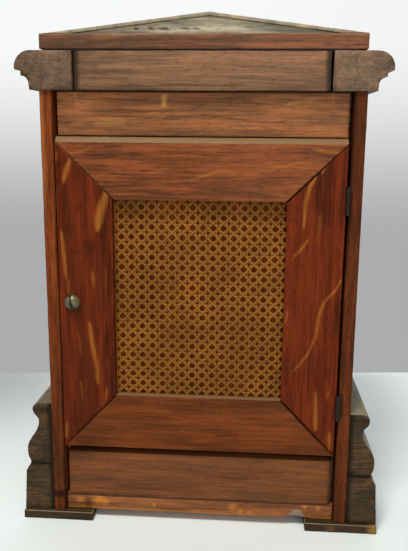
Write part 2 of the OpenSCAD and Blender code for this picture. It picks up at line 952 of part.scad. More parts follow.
side_board_left();
side_board_right();
bottom_board();
lower_rail();
upper_rail();
frieze_board();
crown_left();
crown_right();
crown_back();
ogee_left();
ogee_right();
ogee_back();
plinth_left();
plinth_right();
plinth_back();
foot_front_left();
foot_front_right();
feet_back();
back_stiles();
back_rails();
back_panel();
cork_sides();
cork_back();
cork_floor();
cork_front();
zinc_sides();
zinc_back();
zinc_floor();
door_stop_posts();
door_stop_head();
door_stop_sill();
ice_tray();
ice_rack();
drain_tube();
drip_pan();
food_shelf();
shelf_battens();
floor_rack();
hinge_case_leaves();
hinge_pins();
lid_seal();
door_stile_left();
door_stile_right();
door_rail_top();
door_rail_bottom();
cane_panel();
cane_backing();
door_cork();
door_zinc_pan();
door_gasket();
door_hinge_leaves();
catch_knob();
catch_tongue();
lid_board();
gable_boards();
roof_left();
roof_right();
lid_insulation();
lid_hinge_leaves();
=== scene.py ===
import json
import math

import bmesh
import bpy
from mathutils import Matrix, Vector, noise


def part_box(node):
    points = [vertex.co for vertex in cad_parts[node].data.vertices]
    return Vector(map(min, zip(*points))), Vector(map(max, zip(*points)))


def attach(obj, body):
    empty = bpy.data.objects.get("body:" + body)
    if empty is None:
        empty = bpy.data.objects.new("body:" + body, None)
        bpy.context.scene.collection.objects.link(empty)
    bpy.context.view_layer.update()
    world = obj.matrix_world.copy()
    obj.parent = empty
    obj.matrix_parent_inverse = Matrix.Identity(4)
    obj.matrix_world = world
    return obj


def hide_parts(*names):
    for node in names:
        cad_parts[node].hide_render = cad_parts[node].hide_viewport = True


bl_info = {
    "name": "Oak Icebox",
    "version": (1, 0, 0),
    "blender": (4, 5, 0),
    "location": "3D View > Sidebar > Icebox",
    "description": "Worn oak, woven cane, zinc and brass for the packed icebox, and a plain stage",
    "category": "Object",
}

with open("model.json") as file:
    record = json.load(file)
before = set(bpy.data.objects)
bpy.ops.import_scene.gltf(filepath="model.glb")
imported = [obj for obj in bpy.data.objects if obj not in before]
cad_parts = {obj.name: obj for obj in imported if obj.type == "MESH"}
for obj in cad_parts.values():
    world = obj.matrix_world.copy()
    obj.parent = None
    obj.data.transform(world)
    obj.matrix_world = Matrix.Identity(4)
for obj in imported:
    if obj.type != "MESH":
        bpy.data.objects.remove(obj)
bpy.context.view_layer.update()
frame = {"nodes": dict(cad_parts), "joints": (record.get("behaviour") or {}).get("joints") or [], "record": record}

MM = 0.001
RECORD = frame["record"]
BODY_OF = {n: body for body, nodes in RECORD["behaviour"]["bodies"].items() for n in nodes}
SLOT_OF = {part["node"]: part["material_slot"] for part in RECORD["subparts"]}
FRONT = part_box("side_board_left")[0].y  # front edges of the side boards
MARKS = "marks"  # colour attribute: gold flecks, pale wear and painted highlights, dark stains, joints and painted shade
SLOT_LEAN = 15  # degrees that the turn-knob's slot leans
SIDE_INNER = 181  # mm from the middle to the side boards' inner faces
HOUSING = 551.5  # mm up to the joint that shows at the top of the side boards
BOARD_TOP = 33.4  # mm up to the line between the bottom board and the rail above it
PLINTH_TOP = 79.5  # mm up to the joint between the plinth and the ogee
MITRE_GAP = 1.3 * MM  # how far the door's mitres have opened
CANE_SEAT = 5.8 * MM  # how far the cane runs under the door frame
FIRST_HOLE = (8.6 * MM, 9.6 * MM)  # in from the frame to the middle of the first eight-sided hole
HINGE_LENGTH = 33 * MM
DOOR_HINGE_LEVELS = (175.5 * MM, 440.8 * MM)  # middles of the door's two hinges
LID_HINGE_OFFSET = 120 * MM  # from the middle of the lid to each of its hinges
HINGE_SCREWS = (3.32 * MM, 16.6 * MM, 29.88 * MM)  # along a leaf, from its end

# the stage, in metres and degrees
TABLE_EDGE, TABLE_TURN = 0.459, 5.56  # how far back the table's edge is, and its turn
WALL_BACK = 2.3
KEY_PLACE, KEY_SIZE = (-0.36, -1.16, 2.6), (0.62, 0.5)
FILL_PLACE, FILL_SIZE = (0.5, -1.8, 0.75), (1.0, 0.8)
CAMERA_PLACE, LENS = (0.0656, -0.9878, 0.5209), 44.73
YAW, PITCH, ROLL = -4.078, 11.771, 0.507  # from looking along +Y: to the right, down, clockwise


def srgb(red, green, blue):
    """A colour given as it looks on screen, as the shader wants it."""
    def linear(c):
        c /= 255
        return c / 12.92 if c <= 0.04045 else ((c + 0.055) / 1.055) ** 2.4
    return linear(red), linear(green), linear(blue)


def smooth(low, high, value):
    t = min(1.0, max(0.0, (value - low) / (high - low)))
    return t * t * (3 - 2 * t)


# ---------------------------------------------------------------- settings


def colour_prop(name, description, rgb):
    return bpy.props.FloatVectorProperty(
        name=name, description=description, default=srgb(*rgb), size=3, min=0, max=1,
        subtype="COLOR")


def length_prop(name, description, mm, high):
    return bpy.props.FloatProperty(
        name=name, description=description, default=mm * MM, min=0, max=high * MM,
        subtype="DISTANCE", unit="LENGTH", precision=5)


class WoodSettings(bpy.types.PropertyGroup):
    arris: length_prop("Eased arris", "Width worn off the sharp edges of the boards", 0.7, 3)
    dents: length_prop("Unevenness", "Depth that the faces waver by", 0.12, 1)
    edge_dents: length_prop("Edge wear", "Depth that the edges waver by", 0.45, 2)
    stile: colour_prop("Stile oak", "Varnished oak of the door's stiles", (93, 35, 12))
    door_rail: colour_prop("Door rail oak", "Varnished oak of the door's rails", (111, 59, 29))
    fleck: colour_prop("Ray flecks", "Golden flecks of quarter-sawn oak", (144, 84, 30))
    case: colour_prop("Side board oak", "Oak of the two side boards", (106, 50, 20))
    rail: colour_prop("Rail oak", "Oak of the rails and the bottom board", (126, 78, 45))
    frieze: colour_prop("Frieze oak", "Greyed oak of the frieze board", (114, 82, 58))
    gable: colour_prop("Gable oak", "Weathered oak under the roof boards", (180, 167, 142))
    crown: colour_prop("Crown oak", "Dry oak of the crown moulding", (109, 85, 65))
    base: colour_prop("Base oak", "Dark oak of the base mouldings and feet", (70, 52, 31))
    lid: colour_prop("Lid oak", "Oak of the lid board", (107, 68, 46))
    back: colour_prop("Back oak", "Oak of the framed back", (112, 70, 40))


class CaneSettings(bpy.types.PropertyGroup):
    pitch: length_prop("Pitch", "Distance from one hole to the next", 13, 20)
    pair: length_prop("Pair spacing", "Distance between the two strands of a pair", 5.3, 8)
    strand: length_prop("Strand width", "Width of the upright and level strands", 1.9, 3)
    diagonal: length_prop("Diagonal width", "Width of the diagonal strands", 2.5, 3)
    colour: colour_prop("Cane", "Aged cane", (137, 87, 32))
    backing: colour_prop("Backing", "Board behind the cane", (106, 46, 10))


class MetalSettings(bpy.types.PropertyGroup):
    brass: colour_prop("Hinge brass", "Dark brass of the hinges and screws", (36, 24, 14))
    knob: colour_prop("Knob brass", "Aged brass of the turn-knob", (112, 102, 70))
    verdigris: colour_prop("Verdigris", "Green bloom on the turn-knob", (76, 88, 56))
    zinc: colour_prop("Zinc", "Dull zinc of the lining and the trays", (150, 154, 156))


class StageSettings(bpy.types.PropertyGroup):
    table: colour_prop("Table", "Pale table top", (240, 246, 243))
    wall_low: colour_prop("Wall, low", "Wall just above the table", (170, 170, 172))
    wall_high: colour_prop("Wall, high", "Wall at the top", (246, 248, 248))
    key: bpy.props.FloatProperty(
        name="Key light", description="Power of the light above", default=60, min=0,
        subtype="POWER", unit="POWER")
    fill: bpy.props.FloatProperty(
        name="Fill light", description="Power of the light beside the camera", default=7, min=0,
        subtype="POWER", unit="POWER")
    sky: bpy.props.FloatProperty(
        name="Sky", description="Brightness of the light from all round", default=0.5, min=0,
        max=5)


# ---------------------------------------------------------------- finishes


class Finish:
    """A material and the few calls that wire its nodes."""

    def __init__(self, name, **sockets):
        self.material = bpy.data.materials.new(name)
        self.material.use_nodes = True
        self.tree = self.material.node_tree
        self.shader = self.tree.nodes["Principled BSDF"]
        for socket, value in sockets.items():
            self.shader.inputs[socket.replace("_", " ")].default_value = value

    def add(self, kind, **settings):
        node = self.tree.nodes.new("ShaderNode" + kind)
        for key, value in settings.items():
            setattr(node, key, value)
        return node

    def feed(self, socket, value):
        if isinstance(value, bpy.types.NodeSocket):
            self.tree.links.new(value, socket)
        elif socket.type == "RGBA":
            socket.default_value = (*value[:3], 1)
        else:
            socket.default_value = value

    def math(self, operation, a, b):
        node = self.add("Math", operation=operation)
        self.feed(node.inputs[0], a)
        self.feed(node.inputs[1], b)
        return node.outputs[0]

    def plus(self, a, b):
        return self.math("ADD", a, b)

    def times(self, a, b):
        return self.math("MULTIPLY", a, b)

    def blend(self, factor, a, b):
        node = self.add("Mix", data_type="RGBA")
        self.feed(node.inputs[0], factor)
        self.feed(node.inputs[6], a)
        self.feed(node.inputs[7], b)
        return node.outputs[2]

    def remap(self, value, low, high, to_low=0.0, to_high=1.0):
        node = self.add("MapRange", interpolation_type="SMOOTHSTEP")
        for socket, v in zip(node.inputs, (value, low, high, to_low, to_high)):
            self.feed(socket, v)
        return node.outputs[0]

    def place(self, scale=(1, 1, 1), shift=(0, 0, 0)):
        coords = self.add("TexCoord")
        mapping = self.add("Mapping")
        self.tree.links.new(coords.outputs["Object"], mapping.inputs["Vector"])
        mapping.inputs["Scale"].default_value = scale
        mapping.inputs["Location"].default_value = shift
        return mapping.outputs[0]

    def noise(self, place, scale, detail=2.0, rough=0.5, distortion=0.0):
        node = self.add("TexNoise")
        self.tree.links.new(place, node.inputs["Vector"])
        for socket, v in (("Scale", scale), ("Detail", detail), ("Roughness", rough),
                          ("Distortion", distortion)):
            node.inputs[socket].default_value = v
        return node.outputs["Fac"]

    def cells(self, place, scale):
        node = self.add("TexVoronoi")
        self.tree.links.new(place, node.inputs["Vector"])
        node.inputs["Scale"].default_value = scale
        return node

    def split(self, kind, value):
        """The three outputs of a SeparateColor or SeparateXYZ node."""
        node = self.add(kind)
        self.tree.links.new(value, node.inputs[0])
        return node.outputs[:3]

    def marks(self):
        """The gold, pale and dark marks painted on a piece."""
        return self.split(
            "SeparateColor", self.add("Attribute", attribute_name=MARKS).outputs["Color"])

    def bump(self, height, strength, depth):
        node = self.add("Bump")
        node.inputs["Strength"].default_value = strength
        node.inputs["Distance"].default_value = depth
        self.tree.links.new(height, node.inputs["Height"])
        self.tree.links.new(node.outputs[0], self.shader.inputs["Normal"])

    def set(self, socket, value):
        self.feed(self.shader.inputs[socket], value)


def tinted(colour, factor, warmth=0.0):
    """A darker or lighter neighbour of a colour, warmer where warmth is above 0."""
    r, g, b = colour
    return (min(1, r * factor * (1 + warmth)), min(1, g * factor), min(1, b * factor * (1 - warmth)))


def oak(name, along, colour, seed, contrast=1.0, silk=0.0, fleck=(0.3, 0.1, 0.02), pale=None,
        gloss=0.46, shine=0.12, lean=0.0, saw=0.0):
    """Oak whose grain runs along x, y or z.

    silk is the strength of the wavy ray figure, lean its slope in radians, and saw the
    strength of level saw marks, as on a cut end.
    """
    f = Finish(name, Specular_IOR_Level=shine)
    axis = "xyz".index(along)

    def squeezed(amount):
        return [amount if i == axis else 1 for i in range(3)]

    shift = (seed * 0.37, seed * 0.61, seed * 0.23)
    broad = f.place(squeezed(0.16), shift)
    fine = f.place(squeezed(0.045), shift)
    cloud = f.noise(broad, 26, 3, 0.55, 0.5)
    streak = f.noise(fine, 140, 3, 0.6, 0.3)
    thread = f.noise(fine, 470, 3, 0.6)
    pores = f.noise(f.place(squeezed(0.09), shift), 1000, 2, 0.5)
    tone = f.plus(f.times(cloud, 0.36), f.times(streak, 0.3))
    tone = f.plus(tone, f.times(thread, 0.34))
    if saw:
        marks = f.noise(f.place((0.05, 0.3, 1), shift), 520, 3, 0.6)
        tone = f.plus(tone, f.times(f.math("SUBTRACT", marks, 0.5), saw))
    wide = 0.5 * contrast
    ramp = f.add("ValToRGB")
    stops = ramp.color_ramp.elements
    stops[0].position, stops[1].position = 0.4, 0.6
    stops[0].color = (*tinted(colour, 1 - wide, -0.06), 1)
    stops[1].color = (*tinted(colour, 1 + wide, 0.05), 1)
    middle = stops.new(0.5)
    middle.color = (*colour, 1)
    f.tree.links.new(tone, ramp.inputs[0])
    wood = ramp.outputs[0]
    patch = f.remap(f.noise(broad, 17, 3, 0.6, 0.8), 0.5, 0.66, 0, 0.55 * contrast)
    wood = f.blend(patch, wood, (colour[0] * 0.5, colour[1] * 0.72, colour[2] * 0.8))
    wood = f.blend(f.remap(pores, 0.54, 0.68, 0, 0.6 * contrast), wood, tinted(colour, 0.3))
    # The pale marks hold worn edges and painted highlights. The dark marks hold stains, joints and painted shade.
    gold, worn, dark = f.marks()
    if silk:
        figure = f.place(squeezed(0.13), shift)
        figure.node.inputs["Rotation"].default_value = (0, lean, 0)
        ray = f.noise(figure, 85, 3, 0.6, 0.45)
        wood = f.blend(f.remap(ray, 0.5, 0.66, 0, 0.5 * silk), wood, tinted(colour, 1.8, 0.04))
        wood = f.blend(f.remap(ray, 0.47, 0.34, 0, 0.45 * silk), wood, tinted(colour, 0.45, -0.1))
    broken = f.times(gold, f.remap(streak, 0.3, 0.62, 0.62, 1.0))
    flake = f.blend(thread, tinted(fleck, 0.75, 0.05), tinted(fleck, 1.3, -0.05))
    wood = f.blend(f.remap(broken, 0.04, 0.95, 0, 0.92), wood, flake)
    # The dark marks, stains and joints together with painted shade, darken the wood here.
    stain = f.remap(f.plus(dark, f.times(cloud, 0.5)), 0.3, 1.1, 0, 0.93)
    wood = f.blend(stain, wood, tinted(colour, 0.14))
    # The pale marks, worn edges together with painted highlights on faces that turn up, lighten the wood here.
    rubbed_and_lit = f.remap(f.plus(worn, f.times(thread, 0.6)), 0.5, 1.15, 0, 0.95)
    wood = f.blend(rubbed_and_lit, wood, pale or tinted(colour, 2.1, -0.15))
    f.set("Base Color", wood)
    f.set("Roughness", f.remap(streak, 0.3, 0.7, gloss - 0.07, gloss + 0.12))
    f.bump(f.plus(f.times(thread, 0.8), f.times(pores, -0.6)), 0.4, 0.0006)
    return f.material


def cane_finish(colour):
    f = Finish("Aged cane", Specular_IOR_Level=0.08)
    patch = f.noise(f.place(), 14, 3, 0.6)
    thread = f.noise(f.place(), 420, 3, 0.6)
    tone = f.blend(f.remap(patch, 0.35, 0.68), tinted(colour, 0.78, -0.06), tinted(colour, 1.12, 0.04))
    tone = f.blend(f.remap(thread, 0.5, 0.75, 0, 0.55), tone, tinted(colour, 0.42))
    _, worn, dark = f.marks()
    # The dark marks are painted shade: on the back strands beside the holes, and the door frame's shadow at the
    # top.
    tone = f.blend(f.times(dark, 0.85), tone, srgb(66, 25, 4))
    # The pale marks make the cane paler just above the sill.
    tone = f.blend(f.times(worn, 0.6), tone, tinted(colour, 1.25, -0.25))
    f.set("Base Color", tone)
    f.set("Roughness", f.remap(thread, 0.3, 0.7, 0.36, 0.58))
    f.bump(thread, 0.3, 0.0003)
    return f.material


def brass_finish(name, colour, bloom=None):
    f = Finish(name, Metallic=0.6)
    patch = f.noise(f.place(), 190, 4, 0.6)
    spots = f.noise(f.place(), 900, 3, 0.6)
    metal = f.blend(f.remap(spots, 0.4, 0.75), tinted(colour, 1.2), tinted(colour, 0.35))
    if bloom:
        metal = f.blend(f.remap(patch, 0.46, 0.62, 0, 0.85), metal, bloom)
        # The dark marks paint shade in the knob's slot and over its lower half.
        metal = f.blend(f.marks()[2], metal, tinted(bloom, 0.1))
    f.set("Base Color", metal)
    f.set("Roughness", f.remap(patch, 0.3, 0.7, 0.3, 0.58))
    f.bump(spots, 0.25, 0.0002)
    return f.material


def zinc_finish(name, colour, shine=0.42):
    f = Finish(name, Metallic=0.85)
    crystal = f.split("SeparateColor", f.cells(f.place(), 90).outputs["Color"])[0]
    cloud = f.noise(f.place(), 9, 4, 0.65)
    stain = f.noise(f.place((1, 1, 0.25), (3, 1, 2)), 40, 4, 0.6)
    metal = f.blend(f.remap(cloud, 0.3, 0.7), tinted(colour, 0.72), tinted(colour, 1.15))
    metal = f.blend(f.times(crystal, 0.3), metal, tinted(colour, 0.72))
    metal = f.blend(f.remap(stain, 0.58, 0.72, 0, 0.5), metal, tinted(colour, 0.5, 0.05))
    f.set("Base Color", metal)
    f.set("Roughness", f.remap(stain, 0.3, 0.7, shine, shine + 0.2))
    f.bump(cloud, 0.2, 0.002)
    return f.material


def cork_finish():
    f = Finish("Pressed cork", Roughness=0.92)
    crumbs = f.cells(f.place(), 420)
    tone = f.blend(crumbs.outputs["Distance"], srgb(176, 134, 88), srgb(118, 82, 50))
    tone = f.blend(f.remap(f.noise(f.place(), 90, 3), 0.5, 0.7), tone, srgb(92, 62, 38))
    f.set("Base Color", tone)
    f.bump(crumbs.outputs["Distance"], 0.6, 0.0008)
    return f.material


def felt_finish():
    f = Finish("Dark felt", Roughness=0.95, Sheen_Weight=0.3)
    f.set("Base Color", f.blend(f.noise(f.place(), 60, 3), srgb(52, 48, 44), srgb(88, 82, 74)))
    f.bump(f.noise(f.place(), 1400, 4, 0.7), 0.8, 0.0006)
    return f.material


def rubber_finish():
    f = Finish("Black rubber", Specular_IOR_Level=0.35)
    grain = f.noise(f.place(), 800, 3, 0.6)
    f.set("Base Color", f.blend(f.noise(f.place(), 45, 3), srgb(22, 22, 22), srgb(48, 47, 46)))
    f.set("Roughness", f.remap(grain, 0.3, 0.7, 0.55, 0.8))
    f.bump(grain, 0.3, 0.0002)
    return f.material


# ---------------------------------------------------------------- shaping


def welded(node):
    """A CAD node's shape with its triangles welded and its flat faces made whole."""
    bm = bmesh.new()
    bm.from_mesh(frame["nodes"][node].data)
    bmesh.ops.remove_doubles(bm, verts=bm.verts, dist=1e-6)
    bmesh.ops.dissolve_limit(
        bm, angle_limit=math.radians(1), verts=bm.verts, edges=bm.edges)
    return bm


def block(low, high):
    """A plain block between two corners, ready for shaping."""
    bm = bmesh.new()
    size = Vector(high) - Vector(low)
    place = Matrix.Translation((Vector(low) + Vector(high)) / 2) @ Matrix.Diagonal((*size, 1))
    bmesh.ops.create_cube(bm, size=1, matrix=place)
    return bm


def bevel(bm, edges, width, segments):
    bmesh.ops.bevel(
        bm, geom=edges, offset=width, offset_type="OFFSET", segments=segments, profile=0.5,
        affect="EDGES", clamp_overlap=True, material=-1)


def ease(bm, width, shortest=20 * MM, segments=2, turn=0.5):
    """Rounds the outer edges that are longer than shortest and turn by more than turn radians."""
    edges = [
        e for e in bm.edges
        if e.is_manifold and e.is_convex and e.calc_length() > shortest
        and e.calc_face_angle(0) > turn
    ]
    bevel(bm, edges, width, segments)


def cut(bm, at, across):
    """Adds edges where a plane passes through a shape, and removes nothing."""
    bmesh.ops.bisect_plane(
        bm, geom=bm.verts[:] + bm.edges[:] + bm.faces[:], dist=1e-7, plane_co=at,
        plane_no=across)


def join(bm, other):
    """Moves another shape into this one."""
    mesh = bpy.data.meshes.new("spare")
    other.to_mesh(mesh)
    other.free()
    bm.from_mesh(mesh)
    bpy.data.meshes.remove(mesh)


def slice_up(bm, steps):
    """Cuts a shape across x, y and z about every so many millimetres; 0 leaves an axis alone."""
    for axis, step in enumerate(steps):
        if not step:
            continue
        low = min(v.co[axis] for v in bm.verts)
        high = max(v.co[axis] for v in bm.verts)
        count = max(1, round((high - low) / (step * MM)))
        across = Vector([float(i == axis) for i in range(3)])
        for i in range(1, count):
            cut(bm, across * (low + (high - low) * i / count), across)


def weather(bm, flat, arris, seed=0.0, fine=70):
    """Wears the faces in a little and the edges a little more, never outwards."""
    bm.normal_update()
    shift = Vector((seed, seed * 1.7, seed * 0.6))
    moves = []
    for v in bm.verts:
        bend = max((e.calc_face_angle(0) for e in v.link_edges if e.is_manifold), default=0)
        depth = flat + (arris - flat) * min(1, bend / 0.5)
        wave = noise.noise((v.co + shift) * fine) + 0.5 * noise.noise((v.co + shift) * fine * 3)
        moves.append(v.normal * depth * min(1, max(0, 0.45 + 0.7 * wave)))
    for v, move in zip(bm.verts, moves):
        v.co -= move


def paint(bm, rule):
    """Paints the marks: rule(x, y, z, normal) gives gold, pale and dark, y from the front edge."""
    layer = bm.loops.layers.float_color.new(MARKS)
    bm.normal_update()
    for face in bm.faces:
        n = face.normal
        for loop in face.loops:
            co = loop.vert.co
            gold, pale, dark = rule(co.x / MM, (co.y - FRONT) / MM, co.z / MM, n)
            loop[layer] = (gold, pale, dark, 1)


def solid(name, bm, finish):
    """An object of the given shape and finish, in the scene."""
    mesh = bpy.data.meshes.new(name)
    bm.to_mesh(mesh)
    bm.free()
    mesh.materials.append(finish)
    thing = bpy.data.objects.new(name, mesh)
    bpy.context.scene.collection.objects.link(thing)
    return thing


def settle(name, bm, finish, body, slot, *nodes, angle=35):
    """Makes the piece, lets it ride on its body and stand for its CAD nodes."""
    piece = solid(name, bm, finish)
    piece.data.shade_smooth()
    piece.data.set_sharp_from_angle(angle=math.radians(angle))
    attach(piece, body)
    if nodes:
        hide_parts(*nodes)


def stand_for(node, bm, finish, angle=35):
    settle(f"{node}_worn", bm, finish, BODY_OF[node], SLOT_OF[node], node, angle=angle)


def plain(x, y, z, n):
    return 0.0, 0.0, 0.0


def oak_piece(node, finish, steps=(0, 0, 0), rule=plain, arris=None, bm=None, rough=1.0):
    """A board or moulding with eased, worn edges, in place of its CAD node."""
    wood = bpy.context.scene.icebox_wood
    bm = bm or welded(node)
    ease(bm, arris * MM if arris is not None else wood.arris)
    slice_up(bm, steps)
    weather(bm, wood.dents * rough, wood.edge_dents * rough, seed=len(node) * 0.31)
    paint(bm, rule)
    stand_for(node, bm, finish)


def soft_piece(node, finish, eased, steps, wear=None, bm=None):
    """A piece of metal, felt or rubber in place of its CAD node.

    eased holds the width and least length of the rounded edges in millimetres, and may add
    the number of segments. wear is what weather takes.
    """
    width, shortest, *segments = eased
    bm = bm or welded(node)
    ease(bm, width * MM, shortest * MM, *segments)
    slice_up(bm, steps)
    if wear:
        weather(bm, *wear)
    stand_for(node, bm, finish)


def is_arris(n):
    """True on the narrow faces between two broad ones."""
    return max(abs(n.x), abs(n.y), abs(n.z)) < 0.97


def dress(node, finish):
    """Gives a CAD node that stays as it is a better finish."""
    for place in frame["nodes"][node].material_slots:
        place.material = finish


def tubes(name, paths, radius, closed=False):
    """Round strands along straight-sided paths, as one bmesh."""
    curve = bpy.data.curves.new(name, "CURVE")
    curve.dimensions = "3D"
    curve.bevel_depth = radius
    curve.bevel_resolution = 1
    for path in paths:
        spline = curve.splines.new("POLY")
        spline.points.add(len(path) - 1)
        spline.use_cyclic_u = closed
        for point, co in zip(spline.points, path):
            point.co = (*co, 1)
    holder = bpy.data.objects.new(name, curve)
    bpy.context.scene.collection.objects.link(holder)
    mesh = bpy.data.meshes.new_from_object(
        holder.evaluated_get(bpy.context.evaluated_depsgraph_get()))
    bpy.data.objects.remove(holder)
    bpy.data.curves.remove(curve)
    bm = bmesh.new()
    bm.from_mesh(mesh)
    bpy.data.meshes.remove(mesh)
    return bm


def ribbon(x, z, half_width, points):
    """1 on the middle line of a tapering ribbon, falling to 0 at its sides."""
    best = 0.0
    for i, (a, b) in enumerate(zip(points, points[1:])):
        dx, dz = b[0] - a[0], b[1] - a[1]
        t = min(1, max(0, ((x - a[0]) * dx + (z - a[1]) * dz) / (dx * dx + dz * dz)))
        gap = math.hypot(x - a[0] - t * dx, z - a[1] - t * dz)
        along = (i + t) / (len(points) - 1)
        width = 1.25 * half_width * (0.5 + 0.5 * math.sin(math.pi * along) ** 0.6)
        best = max(best, 1 - gap / width)
    return best ** 1.2


def flecked(flecks, x, z):
    """The strongest of several flecks, each a strength, a half width and a line of x, z points."""
    best = 0.0
    for strength, half_width, points in flecks:
        xs, zs = [p[0] for p in points], [p[1] for p in points]
        reach = 1.3 * half_width
        if (min(xs) - reach < x < max(xs) + reach and min(zs) - reach < z < max(zs) + reach):
            best = max(best, strength * ribbon(x, z, half_width, points))
    return best


def spot(x, z, cx, cz, radius):
    return max(0.0, 1 - math.hypot(x - cx, z - cz) / radius)


# ---------------------------------------------------------------- carcass


def side_rule(side):
    low_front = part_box("side_board_left")[0].z / MM

    def rule(x, y, z, n):
        # Painted shade down the board's front edge, in the corner beside the recessed rails.
        recess_shade = smooth(5, 0, abs(abs(x) - SIDE_INNER)) if y < 2 else 0.0
        at_joint = abs(z - HOUSING) < 1.6 and y < 4
        housing = spot(x, z, side * 185, HOUSING, 5) if at_joint else 0.0
        if side < 0:
            gold = 0.5 * smooth(360, 470, z) * smooth(-187, -195, x) * (y < 3)
            dark = 0.55 * recess_shade + 0.2 * smooth(150, 60, z) + housing
            dark += 0.3 * smooth(2, 0.5, abs(x + 186)) * smooth(300, 420, z)
        else:
            gold = 0.0
            dark = 0.4 * recess_shade + 0.35 * smooth(330, 420, z) + 0.15 * smooth(120, 60, z) + housing
        if y < 3 and z < low_front + 40 and side < 0:
            dark += smooth(2.2, 0.8, abs(z - 36))
        pale = 0.25 if is_arris(n) else 0.0
        return gold, pale, min(1, dark)

    return rule


class ICEBOX_OT_side_boards(bpy.types.Operator):
    """Two upright boards with worn front edges"""
    bl_idname = "icebox.side_boards"
    bl_label = "Side boards"

    def execute(self, context):
        wood = context.scene.icebox_wood
        left = oak("Side board oak, left", "z", wood.case, 1, 1.25, 0.6,
                   fleck=srgb(140, 92, 46), shine=0.06)
        right = oak("Side board oak, right", "z", tinted(wood.case, 0.72, -0.06), 2, 1.3, 0.4,
                    shine=0.06)
        oak_piece("side_board_left", left, (3, 16, 8), side_rule(-1))
        oak_piece("side_board_right", right, (3, 16, 8), side_rule(1))
        return {"FINISHED"}


class ICEBOX_OT_rails(bpy.types.Operator):
    """Bottom board, the rails below and above the door, and the frieze"""
    bl_idname = "icebox.rails"
    bl_label = "Rails"

    def execute(self, context):
        wood = context.scene.icebox_wood
        rail = wood.rail
        upper_flecks = [
            (1.0, 4, [(-45, 553), (-45, 564)]), (0.62, 7, [(-132, 531), (-92, 534)]),
            (0.55, 4, [(-58, 538), (-40, 541)]), (0.6, 3, [(104, 555), (122, 559), (140, 556)]),
            (0.5, 3, [(60, 560), (98, 566), (134, 561), (160, 566)])]

        def upper(x, y, z, n):
            # Painted shadow of the frieze: a dark line along the top of the rail, and darkening towards it.
            line = smooth(567.2, 568.6, z) if y < 8 else 0
            return flecked(upper_flecks, x, z), 0.0, min(1, 0.2 * smooth(556, 567, z) + line)

        def lower(x, y, z, n):
            corner = 0.45 * smooth(-60, -170, x) * smooth(50, 100, z)
            end = 0.7 * smooth(168, 176, x)
            return 0.25 * smooth(90, 150, x) * (1 - end), 0.0, min(1, corner + end)

        gold_spots = ((-163, 25, 8), (-137, 27, 11), (-128, 24, 8), (47, 25, 9), (58, 18, 7),
                      (70, 17, 6), (144, 30, 6), (-60, 22, 5), (162, 28, 5))

        def frieze(x, y, z, n):
            end = smooth(150.5, 152.4, abs(x))
            return 0.0, 0.25 * is_arris(n), end

        def bottom(x, y, z, n):
            if n.y > -0.4 and n.z > -0.4:
                return plain(x, y, z, n)
            gold = max(spot(x, z, *s) for s in gold_spots) * 1.1
            gold = max(gold, 0.7 * smooth(18, 12.5, z))
            chip = spot(x, z, 133, 15, 14) * 1.6
            joint = smooth(1.6, 0.4, abs(z - BOARD_TOP)) * 0.9
            foot = 0.6 * smooth(6, 2, abs(x + 150)) + 0.35 * smooth(-148, -150, x)
            return min(1, gold), min(1, chip), min(1, joint + foot * smooth(33, 26, z) * 0.6)

        oak_piece("upper_rail", oak("Upper rail oak", "x", rail, 3, 1.0, 0.7,
                                    fleck=srgb(176, 122, 66)), (6, 0, 3), upper)
        oak_piece("lower_rail", oak("Lower rail oak", "x", tinted(rail, 0.72, 0.12), 4, 0.8, 0.4),
                  (8, 0, 4), lower)
        oak_piece("frieze_board", oak("Frieze oak", "x", wood.frieze, 5, 1.05, 0.5),
                  (10, 0, 5), frieze)

        board = oak("Bottom board oak", "x", tinted(rail, 1.1, 0.06), 6, 1.0, 0.3,
                    fleck=srgb(188, 118, 42), pale=srgb(142, 126, 106))
        bm = welded("bottom_board")
        ease(bm, 1.2 * MM)
        slice_up(bm, (4, 24, 4))
        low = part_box("bottom_board")[0]
        for v in bm.verts:
            x, rise = v.co.x / MM, (v.co.z - low.z) / MM
            if v.co.y < low.y + 6 * MM and rise < 6:
                ragged = noise.noise(Vector((x * 0.09, 3, 0)))
                ragged += 0.6 * noise.noise(Vector((x * 0.3, 7, 0)))
                chip = smooth(20, 4, abs(x - 131)) * (1 + 0.7 * noise.noise(Vector((x * 0.5, 1, 0))))
                v.co.z += (max(0, ragged) * 1.1 + chip * 2.4) * MM * (1 - rise / 8)
                v.co.y += chip * 1.4 * MM
        weather(bm, wood.dents, wood.edge_dents, 6)
        paint(bm, bottom)
        stand_for("bottom_board", bm, board)
        return {"FINISHED"}


class ICEBOX_OT_crown(bpy.types.Operator):
    """Crown moulding, cut square at the door side and mitred at the back"""
    bl_idname = "icebox.crown"
    bl_label = "Crown"

    def execute(self, context):
        wood = context.scene.icebox_wood

        def rule(x, y, z, n):
            rim = 0.3 if is_arris(n) and y < -1 else 0.0
            # Painted shade along the lower edge of the crown and over the left end of the left block.
            under = 0.35 * smooth(576, 570, z)
            left_end_shade = 0.3 * smooth(190, 215, abs(x)) * (x < 0)
            return 0.0, rim, min(1, under + left_end_shade)

        colour = wood.crown
        side = oak("Crown oak", "y", colour, 7, 0.75, pale=tinted(colour, 1.5), saw=0.25)
        back = oak("Crown oak, back", "x", colour, 8, 0.85, pale=tinted(colour, 1.5))
        # A darker copy for the left block, painting the shade that lies on it.
        left_shaded = oak("Crown oak, left", "y", tinted(colour, 0.88), 27, 0.75,
                   pale=tinted(colour, 1.3), saw=0.25)
        for node, finish in (("crown_left", left_shaded), ("crown_right", side), ("crown_back", back)):
            steps = (24, 0, 0) if node == "crown_back" else (12, 12, 8)
            oak_piece(node, finish, steps, rule, arris=0.8, rough=1.3)
        return {"FINISHED"}


